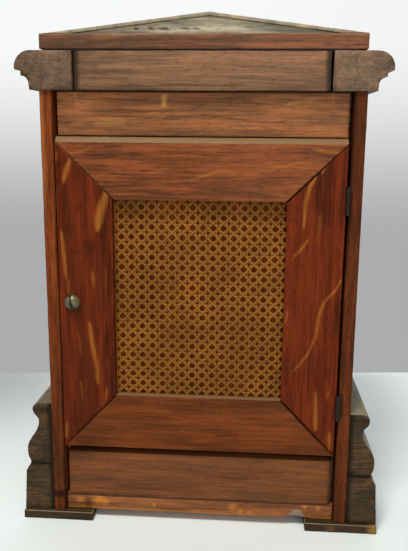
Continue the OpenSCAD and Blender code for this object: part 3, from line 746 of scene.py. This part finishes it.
class ICEBOX_OT_base(bpy.types.Operator):
    """Ogee moulding, plinth and slab feet"""
    bl_idname = "icebox.base"
    bl_label = "Base"

    def execute(self, context):
        wood = context.scene.icebox_wood
        colour = wood.base
        # pale is the colour of worn edges and of the painted highlight on the moulding tops.
        pale = srgb(124, 116, 92)

        def rule(x, y, z, n):
            front = y < 8
            # Painted highlight: faces that turn up are made pale, more so on the right.
            top = (0.75 if x > 0 else 0.45) * (n.z > 0.3) * (z > 90)
            chip = max(spot(x, z, -236, 76, 7), spot(x, z, 236, 76, 8)) * (y < 6) * 1.3
            joint = smooth(1.6, 0.5, abs(z - PLINTH_TOP)) * front
            # Painted shade in the gap where the moulding meets the side board.
            gap_shade = smooth(200.6, 198.4, abs(x)) * front
            tip = 0.5 * smooth(150, 158, z) * smooth(166, 160, z) * front * (n.z < 0.3)
            rim = 0.25 * is_arris(n) * (abs(z - PLINTH_TOP) > 3)
            return 0.0, min(1, top + rim + chip), min(1, joint + gap_shade + tip)

        def foot_rule(x, y, z, n):
            gold = 1.1 * spot(x, z, 236, 6, 16) + 0.5 * spot(x, z, 178, 6, 12)
            top = 0.15 * is_arris(n)
            # Painted highlight on faces that turn up, strongest along their front edge.
            if n.z > 0.2:
                top = 0.25 * smooth(-1, -4.5, y) + 0.6 * is_arris(n)
            # Front faces get a little painted shade.
            return min(1, gold) * (y < 0), top, 0.15 * (n.y < -0.8)

        side = oak("Base oak", "y", colour, 9, 1.1, pale=pale, gloss=0.5, saw=0.7)
        back = oak("Base oak, back", "x", colour, 10, 0.9, pale=pale, gloss=0.5)
        # The feet's pale colour is that of the painted highlight on their tops.
        foot = oak("Foot oak", "x", tinted(colour, 0.7), 11, 1.0, pale=srgb(124, 110, 86),
                   fleck=srgb(150, 108, 48), gloss=0.5)
        for part in ("ogee", "plinth"):
            for place in ("left", "right", "back"):
                steps = (30, 0, 10) if place == "back" else (8, 16, 8)
                oak_piece(f"{part}_{place}", back if place == "back" else side, steps, rule,
                          arris=1.0, rough=1.8)
        for node in ("foot_front_left", "foot_front_right", "feet_back"):
            oak_piece(node, foot, (6, 12, 4), foot_rule, arris=0.9, rough=1.5)
        return {"FINISHED"}


class ICEBOX_OT_back(bpy.types.Operator):
    """Framed back with a fielded panel"""
    bl_idname = "icebox.back"
    bl_label = "Back"

    def execute(self, context):
        colour = context.scene.icebox_wood.back
        upright = oak("Back oak, upright", "z", colour, 12, 1.0, 0.6)
        level = oak("Back oak, level", "x", colour, 13, 1.0, 0.6)

        def rule(x, y, z, n):
            return 0.0, 0.3 * is_arris(n), 0.35 * smooth(210, 166, z)

        oak_piece("back_stiles", upright, (10, 0, 12), rule)
        oak_piece("back_rails", level, (12, 0, 10), rule)
        low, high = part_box("back_panel")
        bm = block(low, high)
        outer = [f for f in bm.faces if f.normal.y > 0.9]
        bmesh.ops.inset_region(bm, faces=outer, thickness=20 * MM, use_even_offset=True)
        bmesh.ops.inset_region(bm, faces=outer, thickness=16 * MM, depth=4 * MM)
        oak_piece("back_panel", upright, (12, 0, 14), rule, bm=bm, arris=0.5)
        return {"FINISHED"}


# ---------------------------------------------------------------- inside


def evenly(low, high, inset, gaps):
    """Places from inset past low to inset short of high, with equal gaps."""
    return [low + inset + (high - low - 2 * inset) * i / gaps for i in range(gaps + 1)]


def border(us, vs):
    """The places on the outside of a grid."""
    return ([(u, v) for u in us for v in (vs[0], vs[-1])]
            + [(u, v) for u in (us[0], us[-1]) for v in vs[1:-1]])


def nail_heads(places, facing, radius=1.8 * MM):
    """Low domed nail heads on a face."""
    turn = Vector((0, 0, 1)).rotation_difference(Vector(facing)).to_matrix().to_4x4()
    bm = bmesh.new()
    for place in places:
        made = bmesh.ops.create_uvsphere(
            bm, u_segments=8, v_segments=6, radius=radius,
            matrix=Matrix.Translation(place) @ turn @ Matrix.Diagonal((1, 1, 0.45, 1)))
        below = [v for v in made["verts"] if (v.co - Vector(place)).dot(Vector(facing)) < -1e-5]
        for v in below:
            v.co -= Vector(facing) * (v.co - Vector(place)).dot(Vector(facing)) * 0.9
    return bm


class ICEBOX_OT_lining(bpy.types.Operator):
    """Cork insulation, zinc lining, felt seal and the stops behind the door"""
    bl_idname = "icebox.lining"
    bl_label = "Lining"

    def execute(self, context):
        scene = context.scene
        zinc = zinc_finish("Zinc lining", scene.icebox_metal.zinc)
        cork = cork_finish()
        for node in ("cork_sides", "cork_back", "cork_floor", "cork_front", "door_cork"):
            dress(node, cork)
        for node in ("zinc_sides", "zinc_back", "zinc_floor"):
            dress(node, zinc)
        colour = tinted(scene.icebox_wood.back, 0.85)
        oak_piece("door_stop_posts", oak("Stop oak, upright", "z", colour, 14), (0, 0, 14))
        level = oak("Stop oak, level", "x", colour, 15)
        for node in ("door_stop_head", "door_stop_sill"):
            oak_piece(node, level, (14, 0, 0), arris=0.5)
        oak_piece("shelf_battens", oak("Batten oak", "y", colour, 16), (0, 16, 0), arris=0.6)

        soft_piece("lid_seal", felt_finish(), (0.45, 5), (6, 6, 0), (0.12 * MM, 0.3 * MM, 4, 160))

        # solder beads in the upright corners of the lining
        low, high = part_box("zinc_back")
        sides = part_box("zinc_sides")
        paths = [
            [(x + 0.3 * MM * noise.noise(Vector((i * 0.7, x * 90, 2))), low.y - 0.2 * MM, z)
             for i, z in enumerate(evenly(low.z, high.z, 4 * MM, 40))]
            for x in (sides[0].x + 1.2 * MM, sides[1].x - 1.2 * MM)]
        solder = tubes("solder", paths, 1.3 * MM)
        settle("lining_solder", solder, zinc, "case", "zinc_lining")
        return {"FINISHED"}


def rim_path(low, high, z, corner):
    """A rounded rectangle round the top of a pan."""
    points = []
    for cx, cy, start in ((high.x, high.y, 0), (low.x, high.y, 90), (low.x, low.y, 180),
                          (high.x, low.y, 270)):
        ox = cx - math.copysign(corner, cx - (low.x + high.x) / 2)
        oy = cy - math.copysign(corner, cy - (low.y + high.y) / 2)
        for step in range(5):
            turn = math.radians(start + 22.5 * step)
            points.append((ox + corner * math.cos(turn), oy + corner * math.sin(turn), z))
    return points


class ICEBOX_OT_ice_fittings(bpy.types.Operator):
    """Ice tray with its rack, drain tube, drip pan, food shelf and floor rack"""
    bl_idname = "icebox.ice_fittings"
    bl_label = "Ice and food fittings"

    def execute(self, context):
        zinc = zinc_finish("Zinc ware", context.scene.icebox_metal.zinc, 0.36)
        for node, rolled in (("ice_tray", 1.7), ("drip_pan", 1.4)):
            soft_piece(node, zinc, (0.4, 5), (20, 20, 20), (0.25 * MM, 0.25 * MM, 3, 22))
            low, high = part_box(node)
            inset = Vector((0.4 * MM, 0.4 * MM, 0))
            rim = tubes("rim", [rim_path(low + inset, high - inset, high.z, 3 * MM)],
                        rolled * MM, closed=True)
            settle(f"{node}_rim", rim, zinc, "case", "zinc_ware")
        dress("drain_tube", zinc)

        bare = srgb(176, 138, 94)
        slats = oak("Bare slats, level", "x", bare, 17, 0.6, gloss=0.62)
        crossed = oak("Bare slats, front to back", "y", bare, 18, 0.6, gloss=0.62)
        oak_piece("ice_rack", slats, (12, 0, 0), arris=0.9)
        oak_piece("floor_rack", crossed, (0, 12, 0), arris=0.9)

        dress("food_shelf", zinc_finish("Tinned wire", srgb(172, 172, 168), 0.3))
        return {"FINISHED"}


# ---------------------------------------------------------------- door

STILE_FLECKS = [
    (0.8, 3, [(-179, 484), (-178, 496)]), (1.3, 4.5, [(-170, 460), (-167, 473), (-162, 486)]),
    (1.4, 7.5, [(-129, 402), (-125, 422), (-117, 448)]), (0.75, 2.6, [(-182, 395), (-179, 455)]),
    (1.0, 3.8, [(-171, 338), (-173, 370), (-175, 397)]), (0.95, 2.4, [(-169, 312), (-168, 336)]),
    (0.85, 2.6, [(-135, 325), (-137, 349)]), (0.5, 2.6, [(-120, 306), (-119, 350)]),
    (1.15, 4.6, [(-142, 279), (-139, 250), (-134, 225), (-133, 197)]),
    (0.7, 3, [(-154, 174), (-156, 200)]), (0.7, 3.2, [(-123, 172), (-121, 192)]),
    (0.55, 3, [(-155, 236), (-157, 270)]), (0.75, 3.4, [(-178, 118), (-176, 140)]),
    (1.0, 3.2, [(147, 476), (152, 485), (158, 492)]),
    (1.2, 3.6, [(141, 470), (133, 458), (129, 440), (128, 408)]),
    (1.0, 2.8, [(115, 369), (124, 379), (133, 392)]),
    (1.0, 3.2, [(177, 345), (170, 330), (157, 315), (151, 298), (148, 270), (140, 248),
                (130, 232), (119, 221)]),
    (0.7, 2.8, [(109, 284), (112, 304)]), (1.2, 4.4, [(151, 196), (152, 165), (153, 142)]),
    (0.9, 4.0, [(172, 115), (171, 140)]), (0.6, 4, [(165, 186), (168, 198)]),
    (0.45, 5, [(146, 388), (147, 425)]), (0.4, 4, [(118, 322), (112, 330)]),
]
RAIL_FLECKS = [
    (0.9, 3.2, [(-168, 493), (-152, 496), (-136, 501)]), (0.7, 3.2, [(-66, 471), (-38, 479)]),
    (1.0, 3.0, [(-12, 464), (6, 470), (22, 475), (52, 476), (88, 477)]),
    (1.1, 3.2, [(84, 481), (104, 482), (120, 487), (134, 486)]),
    (1.1, 3.6, [(136, 503), (150, 500), (167, 499)]), (0.75, 3, [(10, 508), (44, 509), (84, 507)]),
    (0.5, 2.2, [(-108, 446), (-62, 447)]), (0.45, 3, [(-120, 466), (-96, 470)]),
    (0.4, 2.4, [(-118, 160), (-40, 161)]), (0.4, 2.4, [(10, 170), (90, 166)]),
]


def door_rule(flecks):
    low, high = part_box("cane_panel")
    sides, sill = (low.x / MM + 6, high.x / MM - 6), low.z / MM + 6

    def mitre(x):
        """How dark a mitre is: dark near the opening, where it has opened."""
        return 1.0 - 0.8 * smooth(28, 66, max(sides[0] - x, x - sides[1]))

    def rule(x, y, z, n):
        gold = flecked(flecks, x, z) if y < 6 else 0.0
        pale = dark = 0.0
        # Painted highlight: faces that turn up, the bevel along the door's top and the edge of the sill, are made
        # pale as if lit from above.
        if n.z > 0.6 and n.y < 0.3:
            pale = 1.0 if z > 300 or abs(z - sill) < 8 else 0.3
        elif abs(n.x) > 0.2 and abs(n.z) > 0.2:
            dark = mitre(x)
        elif is_arris(n):
            pale = 0.12
        if y < 6:
            dark += 0.5 * spot(x, z, -137, 377, 20) + 0.35 * spot(x, z, -165, 402, 14)
            dark += 0.4 * spot(x, z, -150, 108, 60) + 0.4 * spot(x, z, 168, 108, 46)
            dark += 0.35 * spot(x, z, 160, 430, 26)
        # Painted shade on faces behind the front that turn down.
        elif n.z < -0.6:
            dark += 0.3
        return min(1, gold), pale * (dark < 0.5), min(1, dark)

    return rule


class ICEBOX_OT_door_frame(bpy.types.Operator):
    """Mitred door frame in quarter-sawn oak"""
    bl_idname = "icebox.door_frame"
    bl_label = "Door frame"

    def execute(self, context):
        wood = context.scene.icebox_wood
        stile, rail = wood.stile, wood.door_rail
        # pale is the colour of the painted highlight on the door's upturned bevels.
        shared = dict(fleck=wood.fleck, pale=srgb(117, 90, 58), gloss=0.4)
        left = oak("Door oak, left", "z", tinted(stile, 0.95), 19, 1.1, 0.6, lean=0.06,
                   shine=0.05, **shared)
        right = oak("Door oak, right", "z", stile, 20, 1.0, 0.6, lean=-0.06, shine=0.05, **shared)
        top = oak("Door oak, top", "x", rail, 21, 1.1, 1.0, lean=0.16, **shared)
        bottom = oak("Door oak, bottom", "x", tinted(rail, 0.8, 0.06), 22, 0.8, 0.5, shine=0.05,
                     **shared)
        for node, finish, steps, flecks in (
                ("door_stile_left", left, (2.4, 0, 4.5), STILE_FLECKS),
                ("door_stile_right", right, (2.4, 0, 4.5), STILE_FLECKS),
                ("door_rail_top", top, (5, 0, 2.4), RAIL_FLECKS),
                ("door_rail_bottom", bottom, (6, 0, 3), RAIL_FLECKS)):
            bm = welded(node)
            front = min(v.co.y for v in bm.verts) + 0.1 * MM
            mitres = [
                e for e in bm.edges if all(v.co.y < front for v in e.verts)
                and min(abs(e.verts[0].co.x - e.verts[1].co.x),
                        abs(e.verts[0].co.z - e.verts[1].co.z)) > 30 * MM]
            bevel(bm, mitres, MITRE_GAP, 1)
            oak_piece(node, finish, steps, door_rule(flecks), bm=bm, arris=0.6)
        return {"FINISHED"}


class ICEBOX_OT_cane(bpy.types.Operator):
    """Six-way woven cane and the board behind it"""
    bl_idname = "icebox.cane"
    bl_label = "Cane panel"

    def execute(self, context):
        cane = context.scene.icebox_cane
        low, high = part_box("cane_panel")
        pitch, half_pair = cane.pitch, cane.pair / 2
        # the first crossing of pairs, half a pitch up and left of the first eight-sided hole
        first_x = low.x + CANE_SEAT + FIRST_HOLE[0] - pitch / 2
        first_z = high.z - CANE_SEAT - FIRST_HOLE[1] + pitch / 2
        columns = [first_x + i * pitch for i in range(-1, 19)]
        rows = [first_z - j * pitch for j in range(-1, 22)]
        middle = (low.y + high.y) / 2
        flat = 0.42
        weave_y, lift = middle + 0.28 * MM, 0.3 * MM / flat
        front_y, hop = low.y + 0.42 * MM, 0.16 * MM / flat

        def crossings(centres, low_end, high_end):
            ends = sorted(c + s * half_pair for c in centres for s in (-1, 1))
            return [e for e in ends if low_end < e < high_end]

        xs = crossings(columns, low.x, high.x)
        zs = crossings(rows, low.z, high.z)

        def wave(m, n):
            return weave_y + (lift if (m + n) % 2 else -lift)

        def across_holes(run):
            """The same run with four more points wherever it passes the side of a hole"""
            points = [run[0]]
            for a, b in zip(run, run[1:]):
                a, b = Vector(a), Vector(b)
                if (b - a).length > pitch / 2:
                    points += [a.lerp(b, t) for t in (0.14, 0.3, 0.7, 0.86)]
                points.append(b)
            return points

        paths = []
        for m, x in enumerate(xs):
            run = [(x, wave(m, n), z) for n, z in enumerate(zs)]
            paths.append([(x, weave_y, low.z), *across_holes(run), (x, weave_y, high.z)])
        for n, z in enumerate(zs):
            run = [(x, wave(m, n + 1), z) for m, x in enumerate(xs)]
            paths.append([(low.x, weave_y, z), *across_holes(run), (high.x, weave_y, z)])
        bm = tubes("weave", paths, cane.strand / 2)
        bmesh.ops.scale(bm, vec=(1, flat, 1), space=Matrix.Translation((0, -weave_y, 0)),
                        verts=bm.verts)

        # diagonals pass the middle of each side between the crossings, over and under in turn
        lines = []
        span = high.x - low.x + high.z - low.z
        for lean in (1, -1):
            for k in range(-int(span / pitch) - 2, int(span / pitch) + 2):
                x0, z0 = first_x + pitch * (k + 0.5), first_z
                ends = sorted(((low.z - z0) * lean, (high.z - z0) * lean))
                start, stop = max(ends[0], low.x - x0), min(ends[1], high.x - x0)
                if stop - start < 4 * MM:
                    continue
                run = [(x0 + start, front_y, z0 + lean * start)]
                for s in range(math.ceil(start / (pitch / 2)), math.floor(stop / (pitch / 2)) + 1):
                    t = s * pitch / 2
                    over = hop if (s % 2 == 0) == (lean == 1) else -hop
                    if start < t < stop:
                        run.append((x0 + t, front_y - over, z0 + lean * t))
                run.append((x0 + stop, front_y, z0 + lean * stop))
                lines.append(run)
        diagonals = tubes("diagonals", lines, cane.diagonal / 2)
        bmesh.ops.scale(diagonals, vec=(1, flat, 1), space=Matrix.Translation((0, -front_y, 0)),
                        verts=diagonals.verts)
        top, foot = high.z / MM, low.z / MM

        def off_crossing(at, first):
            return (at - first / MM + pitch / MM / 2) % (pitch / MM) - pitch / MM / 2

        def diagonal_rule(x, y, z, n):
            # Paler near the foot of the opening; darker near the top, a painted shadow of the door frame.
            return 0.0, 0.5 * smooth(foot + 24, foot + 8, z), 0.4 * smooth(top - 14, top - 6, z)

        def weave_rule(x, y, z, n):
            across, above = off_crossing(x, first_x), off_crossing(z, first_z)
            between = smooth(3.5, 4.6, max(abs(across), abs(above)))
            shade = between * (0.95 - 0.3 * smooth(-1, 2, above))
            # The third value is the painted shadow of the door frame over the top of the cane.
            _, paler_low, edge = diagonal_rule(x, y, z, n)
            return 0.0, paler_low * (1 - between), min(1, edge + shade)

        paint(bm, weave_rule)
        paint(diagonals, diagonal_rule)
        join(bm, diagonals)
        settle("woven_cane", bm, cane_finish(cane.colour), "door", "cane", "cane_panel",
               angle=80)

        board = oak("Backing oak", "z", cane.backing, 23, 0.8, gloss=0.55, shine=0.04)
        oak_piece("cane_backing", board, (12, 0, 12), arris=0.3)
        return {"FINISHED"}


class ICEBOX_OT_door_inside(bpy.types.Operator):
    """Zinc pan over the door's insulation, its nails and the rubber gasket"""
    bl_idname = "icebox.door_inside"
    bl_label = "Door inside"

    def execute(self, context):
        zinc = zinc_finish("Door zinc", context.scene.icebox_metal.zinc, 0.38)
        soft_piece("door_zinc_pan", zinc, (0.9, 20, 3), (14, 0, 14), (0.3 * MM, 0.2 * MM, 2, 16))
        soft_piece("door_gasket", rubber_finish(), (0.6, 20, 3), (10, 0, 10))
        low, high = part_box("door_zinc_pan")
        inset = 22 * MM
        around = border(evenly(low.x, high.x, inset, 8), evenly(low.z, high.z, inset, 10))
        heads = nail_heads([(x, high.y, z) for x, z in around], (0, 1, 0))
        settle("door_pan_nails", heads, zinc, "door", "zinc_ware")
        return {"FINISHED"}


# ---------------------------------------------------------------- hardware


def screw_heads(places, facing, radius=1.6 * MM, height=0.7 * MM):
    """Slotted countersunk heads, each with its outer face at the given place."""
    facing = Vector(facing)
    bm = bmesh.new()
    for i, place in enumerate(places):
        one = bmesh.new()
        bmesh.ops.create_cone(
            one, cap_ends=True, segments=20, radius1=radius * 0.8, radius2=radius, depth=height)
        for side in (-1, 1):
            cut(one, (side * radius * 0.18, 0, 0), (1, 0, 0))
        slot = [f for f in one.faces
                if f.normal.z > 0.9 and abs(f.calc_center_median().x) < radius * 0.1]
        deep = bmesh.ops.extrude_face_region(one, geom=slot)
        bmesh.ops.delete(one, geom=slot, context="FACES")
        bmesh.ops.translate(
            one, vec=(0, 0, -0.4 * height),
            verts=[g for g in deep["geom"] if isinstance(g, bmesh.types.BMVert)])
        turn = Vector((0, 0, 1)).rotation_difference(facing).to_matrix().to_4x4()
        spin = Matrix.Rotation(0.7 + i * 1.3, 4, "Z")
        at = Vector(place) - facing * height / 2
        bmesh.ops.transform(one, matrix=Matrix.Translation(at) @ turn @ spin, verts=one.verts)
        join(bm, one)
    return bm


class ICEBOX_OT_hinges(bpy.types.Operator):
    """Brass butt hinges and their slotted screws"""
    bl_idname = "icebox.hinges"
    bl_label = "Hinges"

    def execute(self, context):
        brass = brass_finish("Hinge brass", context.scene.icebox_metal.brass)
        for node in ("hinge_case_leaves", "hinge_pins", "door_hinge_leaves", "lid_hinge_leaves"):
            dress(node, brass)
        joints = {j["name"]: j for j in frame["joints"]}
        pin_x, pin_y, _ = joints["door_hinge"]["pos_m"]
        _, lid_y, lid_z = joints["lid_hinge"]["pos_m"]
        reach = 10 * MM  # from a pin to its screws
        door_leaf, lid_leaf = 1.75 * MM, 2.35 * MM  # from a pin to its screws' outer faces
        zs, xs = ([middle - HINGE_LENGTH / 2 + a for middle in middles for a in HINGE_SCREWS]
                  for middles in (DOOR_HINGE_LEVELS, (-LID_HINGE_OFFSET, LID_HINGE_OFFSET)))
        for name, body, facing, places in (
                ("door_leaf_screws", "door", (1, 0, 0),
                 [(pin_x - door_leaf, pin_y + reach, z) for z in zs]),
                ("case_leaf_screws", "case", (-1, 0, 0),
                 [(pin_x + door_leaf, pin_y + reach, z) for z in zs]),
                ("lid_leaf_screws", "lid", (0, 1, 0),
                 [(x, lid_y - lid_leaf, lid_z + reach) for x in xs]),
                ("crown_leaf_screws", "case", (0, 0, 1),
                 [(x, lid_y + reach, lid_z - lid_leaf) for x in xs])):
            settle(name, screw_heads(places, facing), brass, body, "hinge_brass")
        return {"FINISHED"}


class ICEBOX_OT_catch(bpy.types.Operator):
    """Slotted turn-knob and the tongue behind the door"""
    bl_idname = "icebox.catch"
    bl_label = "Catch"

    def execute(self, context):
        metal = context.scene.icebox_metal
        knob = brass_finish("Knob brass", metal.knob, metal.verdigris)
        low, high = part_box("catch_knob")
        middle = (low + high) / 2 / MM
        lean = math.radians(SLOT_LEAN)

        def slot(x, y, z, n):
            off = (x - middle.x) * math.cos(lean) + (z - middle.z) * math.sin(lean)
            # Painted shade: the slot painted dark across a wider band than its cut, a darkness round it that
            # widens downwards, and the lower half of the knob, as lit from above.
            groove = float(abs(off) < 1.4 and (n.y > -0.7 or abs(off) < 0.9))
            slot_shade = 0.75 * smooth(3.4, 1.4, abs(off)) * smooth(5, -3, z - middle.z)
            return 0.0, 0.0, max(groove, slot_shade, 0.6 * smooth(-1, -9, z - middle.z))

        bm = welded("catch_knob")
        ease(bm, 0.3 * MM, 3 * MM, 2, turn=0.9)
        paint(bm, slot)
        stand_for("catch_knob", bm, knob, angle=50)
        bm = welded("catch_tongue")
        ease(bm, 0.5 * MM, 2 * MM, 2, turn=0.9)
        stand_for("catch_tongue", bm, knob, angle=50)
        return {"FINISHED"}


# ---------------------------------------------------------------- lid


class ICEBOX_OT_lid(bpy.types.Operator):
    """Lid board, gables, roof boards and the zinc plug below"""
    bl_idname = "icebox.lid"
    bl_label = "Lid"

    def execute(self, context):
        scene = context.scene
        wood = scene.icebox_wood
        low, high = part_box("lid_board")
        top = high.z / MM

        def board_rule(x, y, z, n):
            front = y < 0
            edge = 0.55 * smooth(top - 2.5, top - 0.5, z) * front
            dark = 0.3 * smooth(-130, -192, x) * front + 0.3 * smooth(182, 194, x) * front
            streaks = [(0.8, 3, [(40, top - 12), (90, top - 14), (140, top - 13)]),
                       (0.6, 2.5, [(60, top - 5), (150, top - 4)])]
            return flecked(streaks, x, z) * front, edge, dark

        def gable_rule(x, y, z, n):
            marks = (spot(x, z, -44, 641.5, 9), spot(x, z, -60, 640, 6), spot(x, z, -78, 640, 5),
                     spot(x, z, -20, 641, 7), spot(x, z, -8, 641.5, 6), spot(x, z, 44, 646, 3),
                     spot(x, z, 124, 638.5, 5))
            wander = 1.2 * noise.noise(Vector((x * 0.12, 9, 0)))
            dashes = smooth(1.4, 0.3, abs(z - 641 - wander)) * max(marks) * 1.4
            bits = noise.noise(Vector((x * 0.35, 5, z * 0.6))) - 0.5 * smooth(637, 641, z)
            chips = smooth(0.0, 0.35, bits) * smooth(-58, -44, x) * smooth(6, -8, x)
            return 0.0, 0.7 * chips * (n.y < -0.8), min(1, dashes * (n.y < -0.8))

        board = oak("Lid oak", "x", wood.lid, 24, 1.1, 0.8, fleck=srgb(146, 88, 52),
                    pale=srgb(138, 112, 86))
        gable = oak("Gable oak", "x", wood.gable, 25, 0.95, gloss=0.6,
                    pale=srgb(214, 206, 190))
        roof = oak("Roof oak", "y", tinted(wood.gable, 0.62, 0.08), 26, 0.8, gloss=0.6)
        bm = welded("lid_board")
        corner = [e for e in bm.edges
                  if all(v.co.x < low.x + 1 * MM and v.co.y < low.y + 1 * MM for v in e.verts)]
        bevel(bm, corner, 2.5 * MM, 3)
        oak_piece("lid_board", board, (8, 24, 4), board_rule, bm=bm, arris=1.1, rough=1.3)
        oak_piece("gable_boards", gable, (6, 0, 3), gable_rule, arris=0.4)
        for node in ("roof_left", "roof_right"):
            oak_piece(node, roof, (10, 24, 0), arris=0.5, rough=1.2)

        zinc = zinc_finish("Lid zinc", scene.icebox_metal.zinc, 0.4)
        low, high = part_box("lid_insulation")
        bm = block(low, high)
        under = [f for f in bm.faces if f.normal.z < -0.9]
        bmesh.ops.inset_region(bm, faces=under, thickness=12 * MM, use_even_offset=True)
        bmesh.ops.inset_region(bm, faces=under, thickness=3 * MM, depth=-1.5 * MM)
        soft_piece("lid_insulation", zinc, (1.6, 20, 3), (16, 16, 0),
                   (0.3 * MM, 0.2 * MM, 5, 14), bm)
        inset = 8 * MM
        around = border(evenly(low.x, high.x, inset, 9), evenly(low.y, high.y, inset, 5))
        heads = nail_heads([(x, y, low.z) for x, y in around], (0, 0, -1))
        settle("lid_pan_nails", heads, zinc, "lid", "zinc_ware")
        return {"FINISHED"}


# ---------------------------------------------------------------- stage


def softbox(name, place, aim, size, power, tint):
    lamp = bpy.data.lights.new(name, "AREA")
    lamp.shape = "RECTANGLE"
    lamp.size, lamp.size_y = size
    lamp.energy = power
    lamp.color = tint
    holder = bpy.data.objects.new(name, lamp)
    bpy.context.scene.collection.objects.link(holder)
    holder.location = place
    holder.rotation_euler = (Vector(aim) - Vector(place)).to_track_quat("-Z", "Y").to_euler()


class ICEBOX_OT_stage(bpy.types.Operator):
    """Pale table with painted shade, a glowing wall with painted light falloff, soft light and the camera"""
    bl_idname = "icebox.stage"
    bl_label = "Stage"

    def execute(self, context):
        scene = context.scene
        stage = scene.icebox_stage

        table = block((-2.2, -2.4, -0.03), (2.2, TABLE_EDGE, 0))
        bmesh.ops.rotate(table, cent=(0, TABLE_EDGE, 0), verts=table.verts,
                         matrix=Matrix.Rotation(math.radians(TABLE_TURN), 3, "Z"))
        bevel(table, table.edges[:], 3 * MM, 3)
        f = Finish("Pale table", Specular_IOR_Level=0.3)
        cloud = f.noise(f.place(), 2.2, 3)
        x, y, _ = f.split("SeparateXYZ", f.place())
        # Painted shade: the table darkens towards its front, its back left and its front right, as the light falls
        # off.
        far = f.times(f.remap(x, 0.05, -0.5), f.remap(y, -0.25, 0.35))
        tone = f.blend(f.remap(y, -0.4, 0.15), tinted(stage.table, 0.73), stage.table)
        tone = f.blend(f.times(cloud, 0.1), tone, tinted(stage.table, 0.6))
        near = f.times(f.remap(x, 0.15, 0.5), f.remap(y, 0.15, -0.3))
        tone = f.blend(near, tone, tinted(stage.table, 0.74))
        f.set("Base Color", f.blend(far, tone, tinted(stage.table, 0.42)))
        f.set("Roughness", f.remap(f.noise(f.place(), 60, 3), 0.3, 0.7, 0.5, 0.6))
        solid("table_top", table, f.material)

        wall = bmesh.new()
        bmesh.ops.create_grid(
            wall, x_segments=8, y_segments=8, size=1,
            matrix=Matrix.Translation((0, WALL_BACK, 0.6)) @ Matrix.Rotation(math.radians(90), 4, "X")
            @ Matrix.Diagonal((5, 3, 1, 1)))
        f = Finish("Glowing wall, painted falloff", Roughness=0.95)
        # The wall glows, and its glow is painted light: dim just above the table, bright at the top, a little
        # dimmer to the right.
        x, _, z = f.split("SeparateXYZ", f.place())
        tone = f.blend(f.remap(z, 0.0, 0.95), stage.wall_low, stage.wall_high)
        tone = f.blend(f.remap(x, -0.2, 1.2, 0, 0.12), tone, tinted(stage.wall_low, 0.98))
        f.set("Base Color", (0, 0, 0))
        f.set("Emission Color", tone)
        f.shader.inputs["Emission Strength"].default_value = 1.0
        solid("wall", wall, f.material)

        world = bpy.data.worlds.new("Soft room")
        world.use_nodes = True
        sky = world.node_tree.nodes["Background"]
        sky.inputs["Color"].default_value = (0.93, 0.96, 1, 1)
        sky.inputs["Strength"].default_value = stage.sky
        scene.world = world
        softbox("key", KEY_PLACE, (0, 0, 0.2), KEY_SIZE, stage.key, (1, 0.98, 0.95))
        softbox("fill", FILL_PLACE, (0, 0, 0.3), FILL_SIZE, stage.fill, (1, 0.98, 0.96))

        lens = bpy.data.cameras.new("camera")
        lens.lens = LENS
        camera = bpy.data.objects.new("camera", lens)
        scene.collection.objects.link(camera)
        yaw, pitch, roll = (math.radians(a) for a in (YAW, PITCH, ROLL))
        forward = Vector((math.sin(yaw) * math.cos(pitch), math.cos(yaw) * math.cos(pitch),
                          -math.sin(pitch)))
        right = Vector((math.cos(yaw), -math.sin(yaw), 0))
        up = right.cross(forward)
        level, rise = (math.cos(roll) * right + math.sin(roll) * up,
                       math.cos(roll) * up - math.sin(roll) * right)
        camera.matrix_world = Matrix.Translation(CAMERA_PLACE) @ Matrix(
            (level, rise, -forward)).transposed().to_4x4()
        scene.camera = camera
        scene.view_settings.view_transform = "Standard"
        return {"FINISHED"}


# ---------------------------------------------------------------- panel and registration

BUILD_STEPS = (
    ICEBOX_OT_side_boards, ICEBOX_OT_rails, ICEBOX_OT_crown, ICEBOX_OT_base, ICEBOX_OT_back,
    ICEBOX_OT_lining, ICEBOX_OT_ice_fittings, ICEBOX_OT_door_frame, ICEBOX_OT_cane,
    ICEBOX_OT_door_inside, ICEBOX_OT_hinges, ICEBOX_OT_catch, ICEBOX_OT_lid, ICEBOX_OT_stage,
)
SETTINGS = (
    ("icebox_wood", WoodSettings), ("icebox_cane", CaneSettings),
    ("icebox_metal", MetalSettings), ("icebox_stage", StageSettings),
)


class ICEBOX_PT_build(bpy.types.Panel):
    """Lists the icebox's settings and the steps that build it"""
    bl_idname = "ICEBOX_PT_build"
    bl_label = "Icebox"
    bl_space_type = "VIEW_3D"
    bl_region_type = "UI"
    bl_category = "Icebox"

    def draw(self, context):
        for name, group in SETTINGS:
            box = self.layout.box()
            for key in group.__annotations__:
                box.prop(getattr(context.scene, name), key)
        for step in BUILD_STEPS:
            self.layout.operator(step.bl_idname)


CLASSES = tuple(group for _, group in SETTINGS) + BUILD_STEPS + (ICEBOX_PT_build,)


def register():
    for cls in CLASSES:
        bpy.utils.register_class(cls)
    for name, group in SETTINGS:
        setattr(bpy.types.Scene, name, bpy.props.PointerProperty(type=group))


def unregister():
    for name, _ in SETTINGS:
        delattr(bpy.types.Scene, name)
    for cls in reversed(CLASSES):
        bpy.utils.unregister_class(cls)


def main():
    register()
    for step in BUILD_STEPS:
        getattr(bpy.ops.icebox, step.bl_idname.split(".")[1])()


if __name__ == "__main__":
    main()
